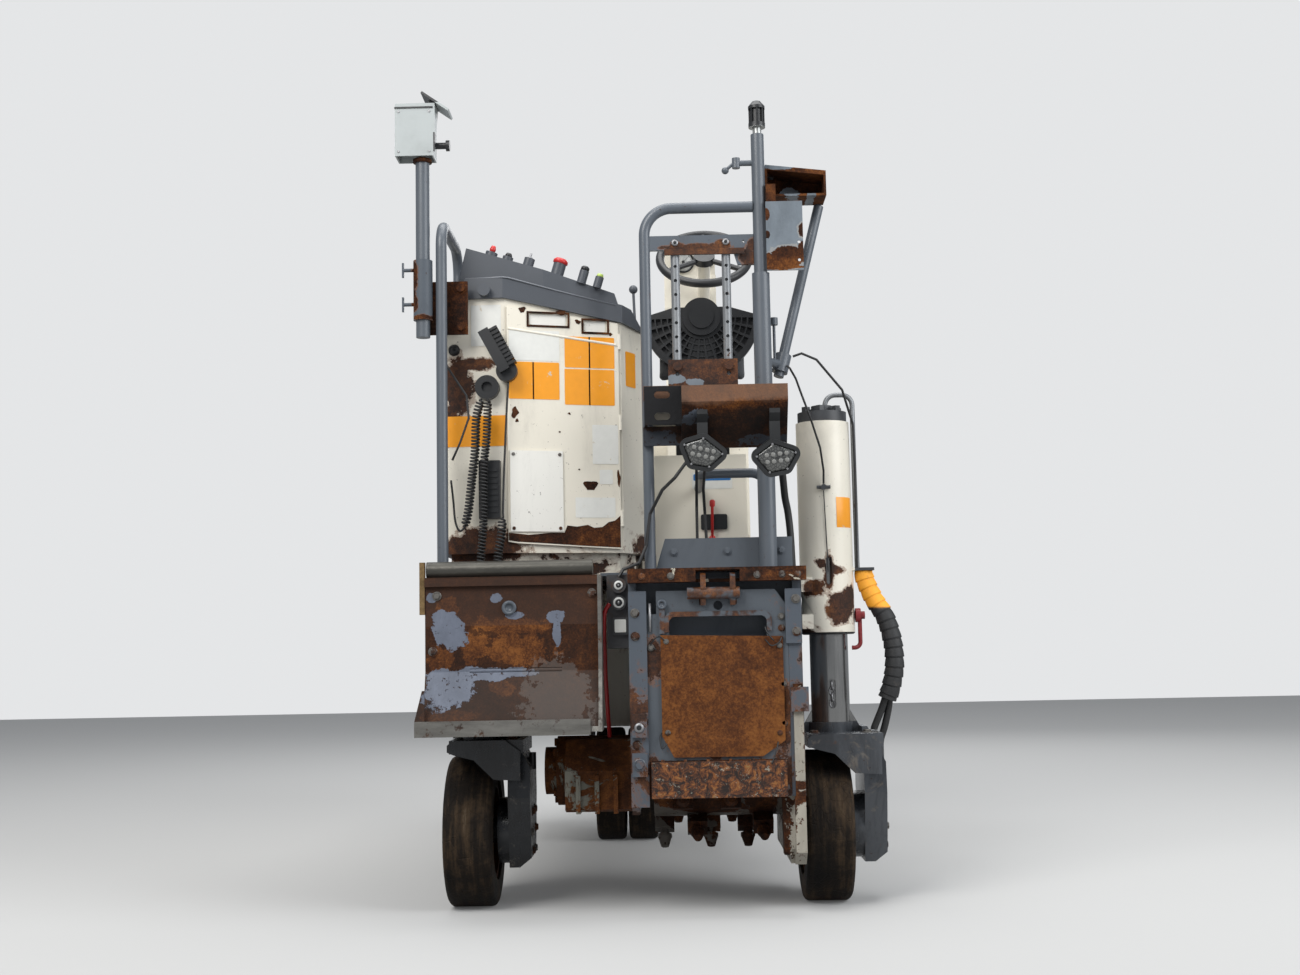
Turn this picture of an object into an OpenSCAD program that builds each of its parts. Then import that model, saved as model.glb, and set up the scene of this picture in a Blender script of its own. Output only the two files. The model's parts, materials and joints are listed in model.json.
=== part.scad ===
// Compact cold planer on solid rubber wheels, for milling narrow strips of road surface.
// X is the machine's right, Y its front and Z up. The origin is on the floor under the middle
// of the machine. All sizes are in millimetres.

/* [Chassis] */
// Rear axle line to front axle line
wheelbase = 1500; // [1400:10:1600]
// Rearmost edge of the wheel housing to the rear axle line
rear_overhang = 410; // [395:5:430]
// Front axle line to the front of the counterweight
front_overhang = 610; // [580:5:680]
// Width of the chassis
chassis_w = 906; // [880:2:930]
// Underside of the chassis
chassis_z = 470; // [465:5:490]
// Top of the chassis side walls
chassis_top = 880; // [870:2:890]
// Thickness of the chassis walls and floor
chassis_wall = 10; // [6:1:16]
// Top of the operator's deck
deck_top = 905; // [898:1:912]
// Thickness of the deck plate
deck_t = 8; // [5:1:12]
// Depth of the counterweight
weight_d = 130; // [100:5:160]
// Bore of the towing eye
tow_bore = 40; // [30:1:50]

/* [Wheels] */
// Tyre diameter of all wheels
tyre_d = 410; // [400:2:414]
// Tyre width of the rear wheels
tyre_w = 130; // [120:2:134]
// Tyre width of the twin front wheels
front_tyre_w = 105; // [95:1:110]
// Gap between the twin front tyres
front_gap = 12; // [8:1:20]
// Inner diameter of the rubber
rim_d = 270; // [250:2:290]
// Room between the drum housing and the right rear tyre
wheel_room = 9; // [6:1:20]
// Middle of the left rear tyre to the middle of the drum
left_wheel_off = 675; // [665:1:685]
// Diameter of the rear wheel shafts
shaft_d = 72; // [60:2:80]

/* [Legs] */
// Outer diameter of the guide columns
column_d = 150; // [140:1:156]
// Diameter of the sliding leg tube
leg_d = 107; // [95:1:112]
// Play between leg tube and column, all round
leg_play = 0.5; // [0.3:0.1:1]
// Lower end of the columns
column_z = 734; // [715:1:750]
// Upper end of the columns
column_top = 1325; // [1250:5:1345]
// Column axis, to the right of the tyre's middle
column_shift = 27; // [20:1:32]
// Lift of each leg
leg_lift = 200; // [100:10:220]
// Underside of the foot over the tyre
foot_gap = 14; // [10:1:20]
// Thickness of the foot over the tyre
foot_t = 36; // [28:1:44]
// Middle of the tyre to the near face of the motor arm
arm_shift = 102; // [92:1:108]
// Thickness of the motor arm
arm_t = 61; // [50:1:66]

/* [Drum] */
// Cutting width
cut_w = 350; // [320:2:356]
// Diameter of the cutting circle
tip_d = 470; // [440:2:480]
// Diameter of the drum shell
shell_d = 300; // [280:2:310]
// Parked height of the tool tips
tip_z = 150; // [140:2:180]
// Middle of the drum
drum_x = 193; // [190:1:196]
// Number of cutting lines
cut_lines = 24; // [16:2:30]
// Diameter of a tool's shank
tool_d = 24; // [18:1:26]
// Diameter of a tool's worn cap
cap_d = 40; // [34:1:42]
// Width of a tool holder
holder_w = 54; // [44:1:58]
// Lean of the tools from the radius, in degrees
tool_lean = 42; // [30:1:50]
// Room between the drum and its left side plate
drum_gap_left = 35; // [30:1:40]
// Room between the drum and its right side plate
drum_gap_right = 26; // [25:1:28]
// Thickness of the drum's side plates
side_t = 20; // [12:1:24]
// Diameter of the drum shaft
drum_shaft = 120; // [100:5:130]

/* [Scraper] */
// Thickness of the scraper plate
scraper_t = 18; // [12:1:22]
// Lower edge of the parked scraper
scraper_z = 313; // [300:1:330]
// Height of the scraper
scraper_h = 534; // [500:2:540]
// Travel of the scraper, downwards
scraper_drop = 150; // [100:5:150]
// Thickness of the guide strips behind the scraper
guide_t = 11; // [8:1:14]
// Play of the scraper and the skid in their guides
slide_play = 0.5; // [0.3:0.1:1]
// Lift of the side skid
skid_lift = 100; // [60:5:100]
// Thickness of the side skid
skid_t = 19.7; // [14:0.1:19.7]

/* [Cabinet] */
// Width of the cabinet
cabinet_w = 555; // [540:1:560]
// Depth of the cabinet
cabinet_d = 520; // [480:5:560]
// Underside of the cabinet
cabinet_z = 965; // [950:1:975]
// Top of the cabinet at its left
cabinet_top = 1672; // [1640:1:1690]
// Fall of the cabinet's top towards the operator
cabinet_fall = 67; // [50:1:80]
// Thickness of the cabinet's sheet
sheet_t = 4; // [3:0.5:6]
// Height of the console's lip
lip_h = 57; // [45:1:65]
// Height of the console's wedge
wedge_h = 93; // [70:1:110]

/* [Frame tubes] */
// Diameter of the light guard tubes
rail_d = 30; // [26:1:34]
// Diameter of the main pole
pole_d = 48; // [42:1:52]
// Diameter of the upper pole
pole_top_d = 36; // [30:1:40]
// Height of the guard frame
guard_top = 1897; // [1850:1:1920]
// Height of the main pole
pole_top = 2099; // [2050:1:2120]
// Diameter of the perforated backrest bars
bar_d = 24; // [20:1:27]
// Diameter of the mast tube
mast_d = 38; // [34:1:40]
// Lower end of the mast
mast_z = 1548; // [1520:1:1570]
// Height of the mast tube
mast_h = 497; // [480:1:505]

/* [Lamps and seat] */
// Width of the lamp beam
beam_w = 280; // [260:2:290]
// Width of a work lamp
lamp_w = 128; // [110:2:134]
// Height of a work lamp
lamp_h = 98; // [80:2:104]
// Width of the seat's shell
seat_w = 306; // [280:2:330]
// Diameter of the steering wheel's rim
steer_d = 292; // [260:2:320]
// Width of the seat pedestal
pedestal_w = 275; // [250:5:290]

/* [Hood] */
// Top of the engine hood
hood_top = 1430; // [1380:5:1440]
// Thickness of the hood's sheet
hood_t = 5; // [4:0.5:8]
// Number of louvres in each side of the hood
louvres = 12; // [8:1:14]
// Diameter of the hood's hinge pins
hinge_pin = 12; // [10:1:14]

/* [Hidden] */
$fn = 48;

cream = "#efe6d2";
grey = "#59626b";
dark = "#2c2f33";
rust = "#6b3a24";
rubber = "#1d1a18";
steel = "#8f9296";
red = "#8c2a24";

// Axle lines and ends of the machine
length = wheelbase + rear_overhang + front_overhang;
tail_y = -length / 2;
nose_y = length / 2;
rear_y = tail_y + rear_overhang;
front_y = rear_y + wheelbase;
wheel_r = tyre_d / 2;
snug = 0.3;
eps = 1;

// Drum and its housing
drum_z = tip_z + tip_d / 2;
box_x0 = drum_x - cut_w / 2 - drum_gap_left - side_t;
box_x1 = drum_x + cut_w / 2 + drum_gap_right + side_t;
box_in0 = box_x0 + side_t;
box_in1 = box_x1 - side_t;
chamber_top = drum_z + tip_d / 2 + 42;
plate_y = rear_y - 300;
side_low = drum_z - 120;
deck_under = deck_top - deck_t;

// Wheels and columns
right_wheel_x = box_x1 + wheel_room + tyre_w / 2;
left_wheel_x = drum_x - left_wheel_off;
left_axis = left_wheel_x + column_shift;
right_axis = right_wheel_x + column_shift;
column_r = column_d / 2;
cap_t = 20;
leg_top = column_top - cap_t - leg_lift - 5;
foot_z = tyre_d + foot_gap;
foot_top = foot_z + foot_t;
arm_low = 110;

// Chassis
chassis_x1 = box_x1 - 60;
chassis_x0 = chassis_x1 - chassis_w;
chassis_mid = (chassis_x0 + chassis_x1) / 2;
chassis_y0 = rear_y + 295;
weight_y = nose_y - weight_d;
weight_top = chassis_top - 20;
bulk_y = rear_y + 970;
head_d = 130;
pin_d = 70;
crown_t = 22;
crown_z = tyre_d + foot_gap;
head_h = 250;
bearer_z = chassis_z + head_h + 5;

// Scraper: its plate, its strips and their guides
scraper_y = plate_y - 2;
scraper_back = scraper_y - scraper_t;
scraper_x0 = box_in0 + 20.5;
scraper_x1 = box_in1 - 15.5;
scraper_top = scraper_z + scraper_h;
guide_y = scraper_back - slide_play;
bar_x0 = scraper_x0 + 12.5;
bar_x1 = scraper_x1 - 13.5;

// Left wheel housing
house_x0 = left_wheel_x - tyre_w / 2 - 18;
house_w = 449;
house_x1 = house_x0 + house_w;
house_y = rear_y - 350;
house_top = 892;
house_bend = 647;
house_low = 491;
house_t = 6;
roll_d = 45;

// Cabinet
cabinet_x0 = chassis_x0;
cabinet_x1 = cabinet_x0 + cabinet_w;
cab_back = rear_y - 150;
cab_front = cab_back + cabinet_d;
fold_x = cabinet_x0 + 182;
face_x1 = cabinet_x1 - 55;
face_in = 95;
cover_w = 322;

// Guard frame, lamp beam and seat
guard_y = rear_y - 230;
guard_x = 22;
pole_x = 338;
bar_x = [105, 244];
bar_top = guard_top - 118;
cross_h = 40;
beam_x0 = 113;
beam_x1 = beam_x0 + beam_w;
beam_y = guard_y - 130;
beam_top = 1384;
beam_lip = 44;
beam_low = 1228;
beam_slope = 88;
beam_back = guard_y - 34;
strip_t = 8;
seat_x = 181;
seat_y = rear_y + 100;
fan_r = 171;
pedestal_top = 1274;
seat_z = pedestal_top + 130;
fan_z = seat_z + 259;
pedestal_x0 = 34;
console_x0 = 75;
console_x1 = 250;

// Masts at the left
rail_x = -532;
mast_x = -582;
mast_y = guard_y - 20;
clamp_x0 = -592;
clamp_x1 = -466;
clamp_y = cab_back - 60;

module box3(x0, x1, y0, y1, z0, z1) {
  translate([x0, y0, z0]) cube([x1 - x0, y1 - y0, z1 - z0]);
}
module x_cyl(d, x0, x1, y, z) {
  translate([x0, y, z]) rotate([0, 90, 0]) cylinder(d = d, h = x1 - x0);
}
module y_cyl(d, y0, y1, x, z) {
  translate([x, y0, z]) rotate([-90, 0, 0]) cylinder(d = d, h = y1 - y0);
}
module z_cyl(d, z0, z1, x, y) {
  translate([x, y, z0]) cylinder(d = d, h = z1 - z0);
}
// Prism along X, its outline given as [y, z]
module prism_x(x0, x1, outline) {
  translate([x0, 0, 0]) rotate([90, 0, 90]) linear_extrude(x1 - x0) polygon(outline);
}
// Prism along Y, its outline given as [x, z]
module prism_y(y0, y1, outline) {
  translate([0, y1, 0]) rotate([90, 0, 0]) linear_extrude(y1 - y0) polygon(outline);
}
// Plate along Y with round corners of radius r
module round_y(x0, x1, y0, y1, z0, z1, r) {
  box3(x0 + r, x1 - r, y0, y1, z0, z1);
  box3(x0, x1, y0, y1, z0 + r, z1 - r);
  for (x = [x0 + r, x1 - r]) for (z = [z0 + r, z1 - r]) y_cyl(2 * r, y0, y1, x, z);
}
// Straight round bar from p to q
module rod(d, p, q) {
  v = q - p;
  translate(p)
    rotate([0, acos(v.z / norm(v)), atan2(v.y, v.x)])
    cylinder(d = d, h = norm(v));
}
// Quarter bends of a tube about their centre
module bend_xz(d, r, x, y, z, turn) {
  translate([x, y, z]) rotate([90, 0, 0]) rotate([0, 0, turn])
    rotate_extrude(angle = 90) translate([r, 0]) circle(d = d);
}
module bend_yz(d, r, x, y, z, turn) {
  translate([x, y, z]) rotate([0, 0, 90]) rotate([90, 0, 0]) rotate([0, 0, turn])
    rotate_extrude(angle = 90) translate([r, 0]) circle(d = d);
}
module bend_xy(d, r, x, y, z, turn) {
  translate([x, y, z]) rotate([0, 0, turn])
    rotate_extrude(angle = 90) translate([r, 0]) circle(d = d);
}
// Flexible cord swept along the points p
function unit(v) = v / norm(v);
function heading(p, i) = unit(p[min(i + 1, len(p) - 1)] - p[max(i - 1, 0)]);
module cord(d, p, sides = 8) {
  rings = [for (i = [0 : len(p) - 1])
    let (t = heading(p, i), s = unit(cross(t, [0, 1, 0])), b = cross(s, t))
    for (k = [0 : sides - 1])
    p[i] + d / 2 * (s * cos(360 * k / sides) + b * sin(360 * k / sides))];
  last = (len(p) - 1) * sides;
  polyhedron(rings, concat([[for (k = [sides - 1 : -1 : 0]) k]],
    [for (i = [0 : len(p) - 2], k = [0 : sides - 1], half = [0, 1])
      let (a = i * sides + k, b = i * sides + (k + 1) % sides)
      half == 0 ? [a, b, b + sides] : [a, b + sides, a + sides]],
    [[for (k = [0 : sides - 1]) last + k]]));
}

// Solid rubber ring with rounded shoulders, standing at x
module tyre(x, y, w) {
  edge = 16;
  steps = 4;
  arc = [for (i = [0 : steps])
    [wheel_r - edge + edge * cos(90 - 90 * i / steps), edge * sin(90 - 90 * i / steps)]];
  outline = concat([[rim_d / 2, 0]], [for (p = arc) [p.x, edge - p.y]],
    [for (i = [steps : -1 : 0]) [arc[i].x, w - edge + arc[i].y]], [[rim_d / 2, w]]);
  translate([x - w / 2, y, wheel_r]) rotate([0, 90, 0]) rotate_extrude($fn = 72)
    polygon(outline);
}

// Dished steel wheel disc with a hub and a ring of bolts
module rim(x, y, w) {
  web = 22;
  hub = 110;
  bolts = 8;
  bolt_h = 14;
  lip = 14;
  ring = rim_d / 2 - snug / 2;
  translate([x, y, wheel_r]) rotate([0, 90, 0]) {
    difference() {
      translate([0, 0, -w / 2]) cylinder(r = ring, h = w, $fn = 72);
      translate([0, 0, -w / 2 - eps]) cylinder(r = ring - lip, h = w / 2 - web / 2 + eps);
      translate([0, 0, web / 2]) cylinder(r = ring - lip, h = w / 2);
    }
    translate([0, 0, -w / 2 + 8]) cylinder(d = hub, h = w - 18);
    for (i = [0 : bolts - 1]) rotate([0, 0, 360 * i / bolts])
      translate([hub / 2 + 22, 0, -web / 2 - bolt_h]) cylinder(d = 26, h = bolt_h + eps, $fn = 6);
  }
}

// Leg tube with its foot, apron and motor arm beside the wheel at x
module leg(x) {
  axis = x + column_shift;
  arm0 = x + arm_shift;
  arm1 = arm0 + arm_t;
  foot0 = x - 50;
  apron_y = rear_y - 158;
  apron_t = 14;
  arm_top = foot_top + 16;
  // Tube with the slot of its scale
  difference() {
    z_cyl(leg_d, foot_top, leg_top, axis, rear_y);
    hull() for (z = [75, 135])
      y_cyl(22, rear_y - leg_d, rear_y - leg_d / 2 + 12, axis, foot_top + z);
  }
  // Collar at its foot
  z_cyl(leg_d + 18, foot_top, foot_top + 26, axis, rear_y);
  // Foot over the tyre
  box3(foot0, arm1 - 12, apron_y, rear_y + 105, foot_z, foot_top);
  // Apron behind the tyre, cut away along its slope
  prism_y(apron_y - apron_t, apron_y + eps, [[foot0 + 10, foot_top], [foot0 - 4, foot_top - 12],
    [foot0 - 4, foot_z + 6], [foot0 + 14, foot_z - 2], [x + 18, foot_z - 16],
    [x + tyre_w / 2 + 6, foot_z - 68], [arm1 - 20, foot_z - 72], [arm1 - 20, foot_top - 30],
    [arm0, foot_top]]);
  // Gussets from the foot to the tube
  for (s = [-1, 1]) prism_y(rear_y - 6, rear_y + 6,
    [[axis + s * (leg_d / 2 + 34), foot_top - eps], [axis + s * (leg_d / 2 - 1), foot_top + 60],
    [axis + s * (leg_d / 2 - 9), foot_top + 60], [axis + s * (leg_d / 2 - 9), foot_top - eps]]);
  // Motor arm with sloped shoulders
  intersection() {
    prism_x(arm0, arm1, [[rear_y - 92, arm_top], [rear_y - 110, 300], [rear_y - 70, arm_low],
      [rear_y + 70, arm_low], [rear_y + 110, 300], [rear_y + 92, arm_top]]);
    prism_y(rear_y - 120, rear_y + 120, [[arm0, arm_low - 1], [arm0, arm_top + 1],
      [arm0 + 14, arm_top + 1], [arm1, arm_top - 96], [arm1, arm_low + 26],
      [arm1 - 34, arm_low - 1]]);
  }
  // Motor flange and the shaft that carries the wheel
  x_cyl(180, x + tyre_w / 2 + 6, arm0, rear_y, wheel_r);
  x_cyl(shaft_d, x, x + tyre_w / 2 + 6, rear_y, wheel_r);
  // Hose port on the arm's shoulder
  z_cyl(20, foot_top - 90, foot_top - 43.5, arm1 - 1, rear_y);
}

// Guide column with its cap and the slot of its scale
module column(x) {
  axis = x + column_shift;
  difference() {
    z_cyl(column_d, column_z, column_top, axis, rear_y);
    z_cyl(leg_d + 2 * leg_play, column_z - eps, column_top - cap_t, axis, rear_y);
    y_cyl(16, rear_y - column_r - eps, rear_y - leg_d / 2, axis, column_z + 140);
    y_cyl(16, rear_y - column_r - eps, rear_y - leg_d / 2, axis, column_z + 200);
    box3(axis - 8, axis + 8, rear_y - column_r - eps, rear_y - leg_d / 2, column_z + 140,
      column_z + 200);
  }
  z_cyl(column_d - 12, column_top, column_top + 30, axis, rear_y);
  for (a = [20 : 60 : 320]) translate([axis, rear_y, column_top + 30 - eps]) rotate([0, 0, a])
    translate([column_r - 26, 0, 0]) cylinder(d = 26, h = 17, $fn = 6);
  z_cyl(60, column_top + 30, column_top + 50, axis, rear_y);
}

// Halves of a hinge knuckle on the hood's axis
hinge_y = weight_y - 8;
hinge_z = chassis_top + 14;
knuckle_d = 24;
knuckle_w = 40;
hinge_x = [chassis_mid - 300, chassis_mid + 300];

module main_frame() {
  color(cream) {
    // Engine bay: an open tub with two bearers and the steering head
    difference() {
      box3(chassis_x0, chassis_x1, chassis_y0, weight_y, chassis_z, chassis_top);
      box3(chassis_x0 + chassis_wall, chassis_x1 - chassis_wall, bulk_y + chassis_wall,
        weight_y - chassis_wall, chassis_z + chassis_wall, chassis_top + eps);
      z_cyl(pin_d + 2 * snug, chassis_z - eps, chassis_z + head_h, chassis_mid, front_y);
      // Room for the left wheel and its leg as they rise
      box3(chassis_x0 - eps, house_x1 - 30, chassis_y0 - eps, rear_y + wheel_r + 110,
        chassis_z - eps, deck_under);
    }
    difference() {
      z_cyl(head_d, chassis_z, chassis_z + head_h, chassis_mid, front_y);
      z_cyl(pin_d + 2 * snug, chassis_z - eps, chassis_z + head_h + eps, chassis_mid, front_y);
    }
    for (y = [front_y - 330, front_y + 230])
      box3(chassis_x0, chassis_x1, y, y + 50, chassis_z + 150, bearer_z);
    // Bulkhead behind the engine
    box3(chassis_x0, chassis_x1, bulk_y, bulk_y + chassis_wall, chassis_top, hood_top - 40);
    // Hinge eyes of the hood
    for (x = hinge_x) difference() {
      union() {
        x_cyl(knuckle_d, x - knuckle_w / 2, x + knuckle_w / 2, hinge_y, hinge_z);
        box3(x - knuckle_w / 2, x + knuckle_w / 2, hinge_y - 12, hinge_y + 6,
          chassis_top - 20, hinge_z);
      }
      x_cyl(hinge_pin + 2 * snug, x - knuckle_w, x + knuckle_w, hinge_y, hinge_z);
    }
  }
}

module counterweight() {
  r = 60;
  low = chassis_z - 40;
  pocket_z = low + 70;
  pocket_h = 100;
  color(dark) difference() {
    union() {
      box3(chassis_x0 + r, chassis_x1 - r, weight_y, nose_y, low, weight_top);
      box3(chassis_x0, chassis_x1, weight_y, nose_y - r, low, weight_top);
      for (x = [chassis_x0 + r, chassis_x1 - r])
        z_cyl(2 * r, low, weight_top, x, nose_y - r);
    }
    // Pocket of the towing eye
    box3(chassis_mid - 70, chassis_mid + 70, nose_y - 80, nose_y + eps, pocket_z,
      pocket_z + pocket_h);
    z_cyl(tow_bore, low - eps, pocket_z + pocket_h + 30, chassis_mid, nose_y - 40);
  }
}

module engine_block() {
  color(grey) box3(chassis_mid - 280, chassis_mid + 280, front_y - 350, front_y + 300,
    bearer_z, hood_top - 130);
}

module drum_housing() {
  color(grey) {
    difference() {
      union() {
        for (x = [box_x0, box_x1 - side_t])
          prism_x(x, x + side_t, [[plate_y, scraper_z + 20], [plate_y + 40, side_low],
            [chassis_y0, side_low], [chassis_y0, deck_under], [plate_y, deck_under]]);
        // Bearing flange of the drum shaft
        x_cyl(drum_shaft + 70, box_in0 - eps, box_in0 + 12, rear_y, drum_z);
      }
      x_cyl(drum_shaft + 2 * snug, box_x0 + 4, box_in1 - 100, rear_y, drum_z);
    }
    box3(box_in0, box_in1, plate_y + 50, chassis_y0, chamber_top, chamber_top + 16);
    box3(box_in0, box_in1, chassis_y0 - 16, chassis_y0, drum_z - 60, chamber_top);
    box3(box_in0, box_in1, plate_y + 50, plate_y + 62, chamber_top + 16, deck_under);
    // Guides at both edges of the scraper
    for (g = [[box_x0, scraper_x0 - slide_play], [scraper_x1 + slide_play, box_x1]])
      box3(g[0], g[1], guide_y, plate_y, scraper_z, scraper_top);
    box3(box_x0, scraper_x0 + 6.5, guide_y - guide_t, guide_y, scraper_z - 22, scraper_top);
    box3(scraper_x1 - 6.5, box_x1, guide_y - guide_t, guide_y, skid_clamp_z + 176,
      scraper_top);
    // Worn spacer blocks on the left guide
    for (z = [560, 660]) box3(box_x0 + 4, scraper_x0 + 3, guide_y - guide_t - 16,
      guide_y - guide_t + eps, z - 190, z - 130);
  }
  // Clamp of the skid's upright
  color(rust) difference() {
    box3(skid_x1 - 32, box_x1 + 12, guide_y - guide_t - 12, guide_y, skid_clamp_z,
      skid_clamp_z + 63);
    box3(skid_x1 - 25 - slide_play, skid_x1 + slide_play, guide_y - guide_t - 4, guide_y + eps,
      skid_clamp_z - eps, skid_clamp_z + 64);
  }
}

module drum_drive_housing() {
  x0 = box_x0 - 211;
  low = drum_z - 121;
  color(rust) difference() {
    union() {
      x_cyl(190, x0, box_x0, rear_y, drum_z - 20);
      prism_x(x0 + 30, box_x0, [[rear_y - 150, drum_z + 40], [rear_y - 190, drum_z - 10],
        [rear_y - 190, low + 10], [rear_y - 150, low], [rear_y + 60, low],
        [rear_y + 60, drum_z + 70], [rear_y - 120, drum_z + 70]]);
      x_cyl(130, x0 - 34, x0, rear_y, drum_z - 20);
      for (a = [0 : 45 : 315]) translate([0, rear_y, drum_z - 20]) rotate([a, 0, 0])
        translate([x0 - 10, 0, 78]) rotate([0, 90, 0]) cylinder(d = 22, h = 11, $fn = 6);
      // Ribs under the gear case
      for (x = [x0 + 60, x0 + 110, x0 + 160])
        box3(x, x + 12, rear_y - 206, rear_y + 40, low, drum_z - 20);
    }
    x_cyl(90, x0 - 35, x0 - 10, rear_y, drum_z - 20);
  }
}

// Hollow housing over the left rear wheel, open below
module left_wheel_housing() {
  lip = 34;
  lip_h = 32;
  flare = 20;
  color(rust) difference() {
    union() {
      // Left side plate
      prism_x(house_x0, house_x0 + house_t, [[house_y, house_top], [house_y, house_bend],
        [tail_y + house_t, house_low], [chassis_y0, house_low], [chassis_y0, house_top]]);
      // Rear wall with its sloping lower half
      prism_x(house_x0, house_x1, [[house_y, house_top], [house_y, house_bend],
        [tail_y + house_t, house_low], [tail_y + 2 * house_t, house_low],
        [house_y + house_t, house_bend], [house_y + house_t, house_top]]);
    }
    // Slot of the lifting bar
    box3(house_x0 + 115, house_x1 - 95, house_y - eps, house_y + 2 * house_t,
      house_bend - 6, house_bend + 8);
  }
  color(rust) {
    // Lifting bar in its slot
    x_cyl(14, house_x0 + 105, house_x1 - 85, house_y + 7, house_bend + 2);
    // Right flange
    prism_x(house_x1, house_x1 + 10, [[house_y - 12, house_top], [house_y - 12, house_bend],
      [tail_y + 2, house_low], [tail_y + 100, house_low], [house_y + 90, house_top]]);
    // Folded lip, and the left corner that flares out
    prism_x(house_x0 - flare, house_x1 - flare, [[tail_y, house_low + lip_h],
      [tail_y, house_low - 8], [tail_y + lip, house_low - 8], [tail_y + lip, house_low],
      [tail_y + 10, house_low], [tail_y + 10, house_low + lip_h]]);
    prism_y(tail_y, tail_y + 8, [[house_x0 - flare, house_low + lip_h - 1],
      [house_x0, house_low + 110], [house_x0 + house_t, house_low + 110],
      [house_x0 + house_t, house_low + lip_h - 1]]);
    // Top plate, open where the column passes
    difference() {
      box3(house_x0, house_x1, house_y, chassis_y0, house_top - house_t, house_top);
      z_cyl(column_d + 2 * snug, house_top - house_t - eps, house_top + eps, left_axis, rear_y);
    }
    // Strip under the roller and its raised end
    box3(house_x0, house_x1 + 10, house_y - 12, house_y, house_top - 24, house_top - 4);
    box3(house_x0 - 14, house_x0, house_y - 4, house_y + 10, house_top - 96, house_top + 40);
  }
  color(grey) x_cyl(roll_d, house_x0 + 2, house_x1 - 12, house_y + 24, house_top + roll_d / 2 - 3);
}

module left_column() { color(cream) column(left_wheel_x); }

module right_column() {
  color(cream) column(right_wheel_x);
  // Brackets that carry the column on the drum housing
  color(grey) difference() {
    for (z = [column_z + 10, deck_under - 50])
      box3(box_x1, right_axis, rear_y - 60, rear_y + 60, z, z + 40);
    z_cyl(column_d - 2, column_z, deck_top, right_axis, rear_y);
  }
  // Eye of the scale wire, and the bracket of the leg's hoses
  color(dark) {
    y_cyl(16, rear_y - column_r - 14, rear_y - column_r + 4, right_axis - 9, 1136);
    x_cyl(10, right_axis - 28, right_axis + 10, rear_y - column_r - 6, 1136);
    box3(right_axis + column_r - 6, right_axis + column_r + 56, rear_y - 30, rear_y + 30,
      905, 913);
  }
}

// Red hand lever at the foot of the right column
module column_lever() {
  x = right_axis + column_r;
  y = rear_y - 20;
  color(red) {
    x_cyl(40, x + snug, x + 14, y, column_z + 46);
    x_cyl(22, x + 14, x + 26, y, column_z + 46);
    rod(12, [x + 12, y, column_z + 40], [x + 12, y, column_z - 28]);
    bend_xz(12, 16, x - 4, y, column_z - 28, -90);
    rod(12, [x - 4, y, column_z - 44], [x - 12, y, column_z - 44]);
  }
}

// Steel pipe from the cylinder's cap to the hose bracket
module column_pipe() {
  d = 14;
  r = 30;
  x1 = right_axis + column_r + 12;
  y = rear_y;
  top = column_top + 82;
  color(steel) {
    z_cyl(d, column_top + 50, top - r, right_axis + 10, y);
    bend_xz(d, r, right_axis + 10 + r, y, top - r, 90);
    x_cyl(d, right_axis + 10 + r, x1 - r, y, top);
    bend_xz(d, r, x1 - r, y, top - r, 0);
    z_cyl(d, 913, top - r, x1, y);
  }
}

module rear_beam() {
  x1 = box_x1 + 14;
  color(rust) difference() {
    union() {
      box3(box_x0, x1, plate_y - 50, plate_y, deck_top - 36, deck_top - 28);
      box3(box_x0, x1, plate_y - 50, plate_y - 42, deck_top - 36, deck_top);
      box3(box_x0, x1, plate_y - 50, plate_y, deck_top - 8, deck_top);
    }
    // Notch above the scraper's bracket
    box3(lug_x0 - 12, lug_x1 + 12, plate_y - 51, plate_y - 14, deck_top - 37, deck_top - 6);
  }
}

module platform_deck() {
  color(dark) difference() {
    box3(house_x1, box_x1, plate_y, bulk_y, deck_under, deck_top);
    box3(house_x1 - eps, box_x0, plate_y - eps, rear_y - 160, deck_under - eps, deck_top + eps);
  }
  // Upstand across the deck, its left end cut at a slope
  color(grey) prism_y(guard_y + 30, guard_y + 40, [[35, deck_top - eps], [62, deck_top + 87],
    [405, deck_top + 87], [405, deck_top - eps]]);
}

module access_step() {
  x1 = chassis_x1 + 90;
  y = rear_y + 560;
  step_w = 260;
  color(dark) {
    for (z = [chassis_z + 20, chassis_z + 230]) difference() {
      box3(chassis_x1, x1, y, y + step_w, z, z + 12);
      for (dy = [30 : 40 : step_w - 30], dx = [20, 50])
        z_cyl(18, z - eps, z + 13, chassis_x1 + dx, y + dy);
    }
    for (dy = [0, step_w - 10])
      box3(chassis_x1, x1, y + dy, y + dy + 10, chassis_z + 20, chassis_z + 320);
  }
}

// Couplings between the wheel housing and the drum housing
module valve_block() {
  x = box_x0 - 26;
  y = plate_y + 24;
  // Height, outer diameter and bore of each coupling
  couplings = [[866, 40, 16], [820, 38, 12]];
  color(dark) {
    box3(house_x1 + 21, box_x0, y + 14, y + 44, 700, deck_under - 2);
    for (c = couplings) difference() {
      y_cyl(c[1], y - 6, y + 15, x, c[0]);
      y_cyl(c[2], y - 7, y + 6, x, c[0]);
    }
    box3(x - 17, x + 23, y, y + 15, 736, 782);
  }
}

// Plan of the cabinet, drawn in by w
function cabinet_plan(w) = [[cabinet_x0 + w, cab_back + w], [fold_x + w / 3, cab_back - 10 + w],
  [face_x1 - w / 2, cab_back - 10 + face_in + w], [cabinet_x1 - w, cab_back + 190 + w / 2],
  [cabinet_x1 - w, cab_front - w], [cabinet_x0 + w, cab_front - w]];
function cabinet_face(w) = [[cabinet_x0, cabinet_z + w], [cabinet_x0, cabinet_top - w],
  [fold_x, cabinet_top - w], [cabinet_x1, cabinet_top - cabinet_fall - w],
  [cabinet_x1, cabinet_z + w]];

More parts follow.
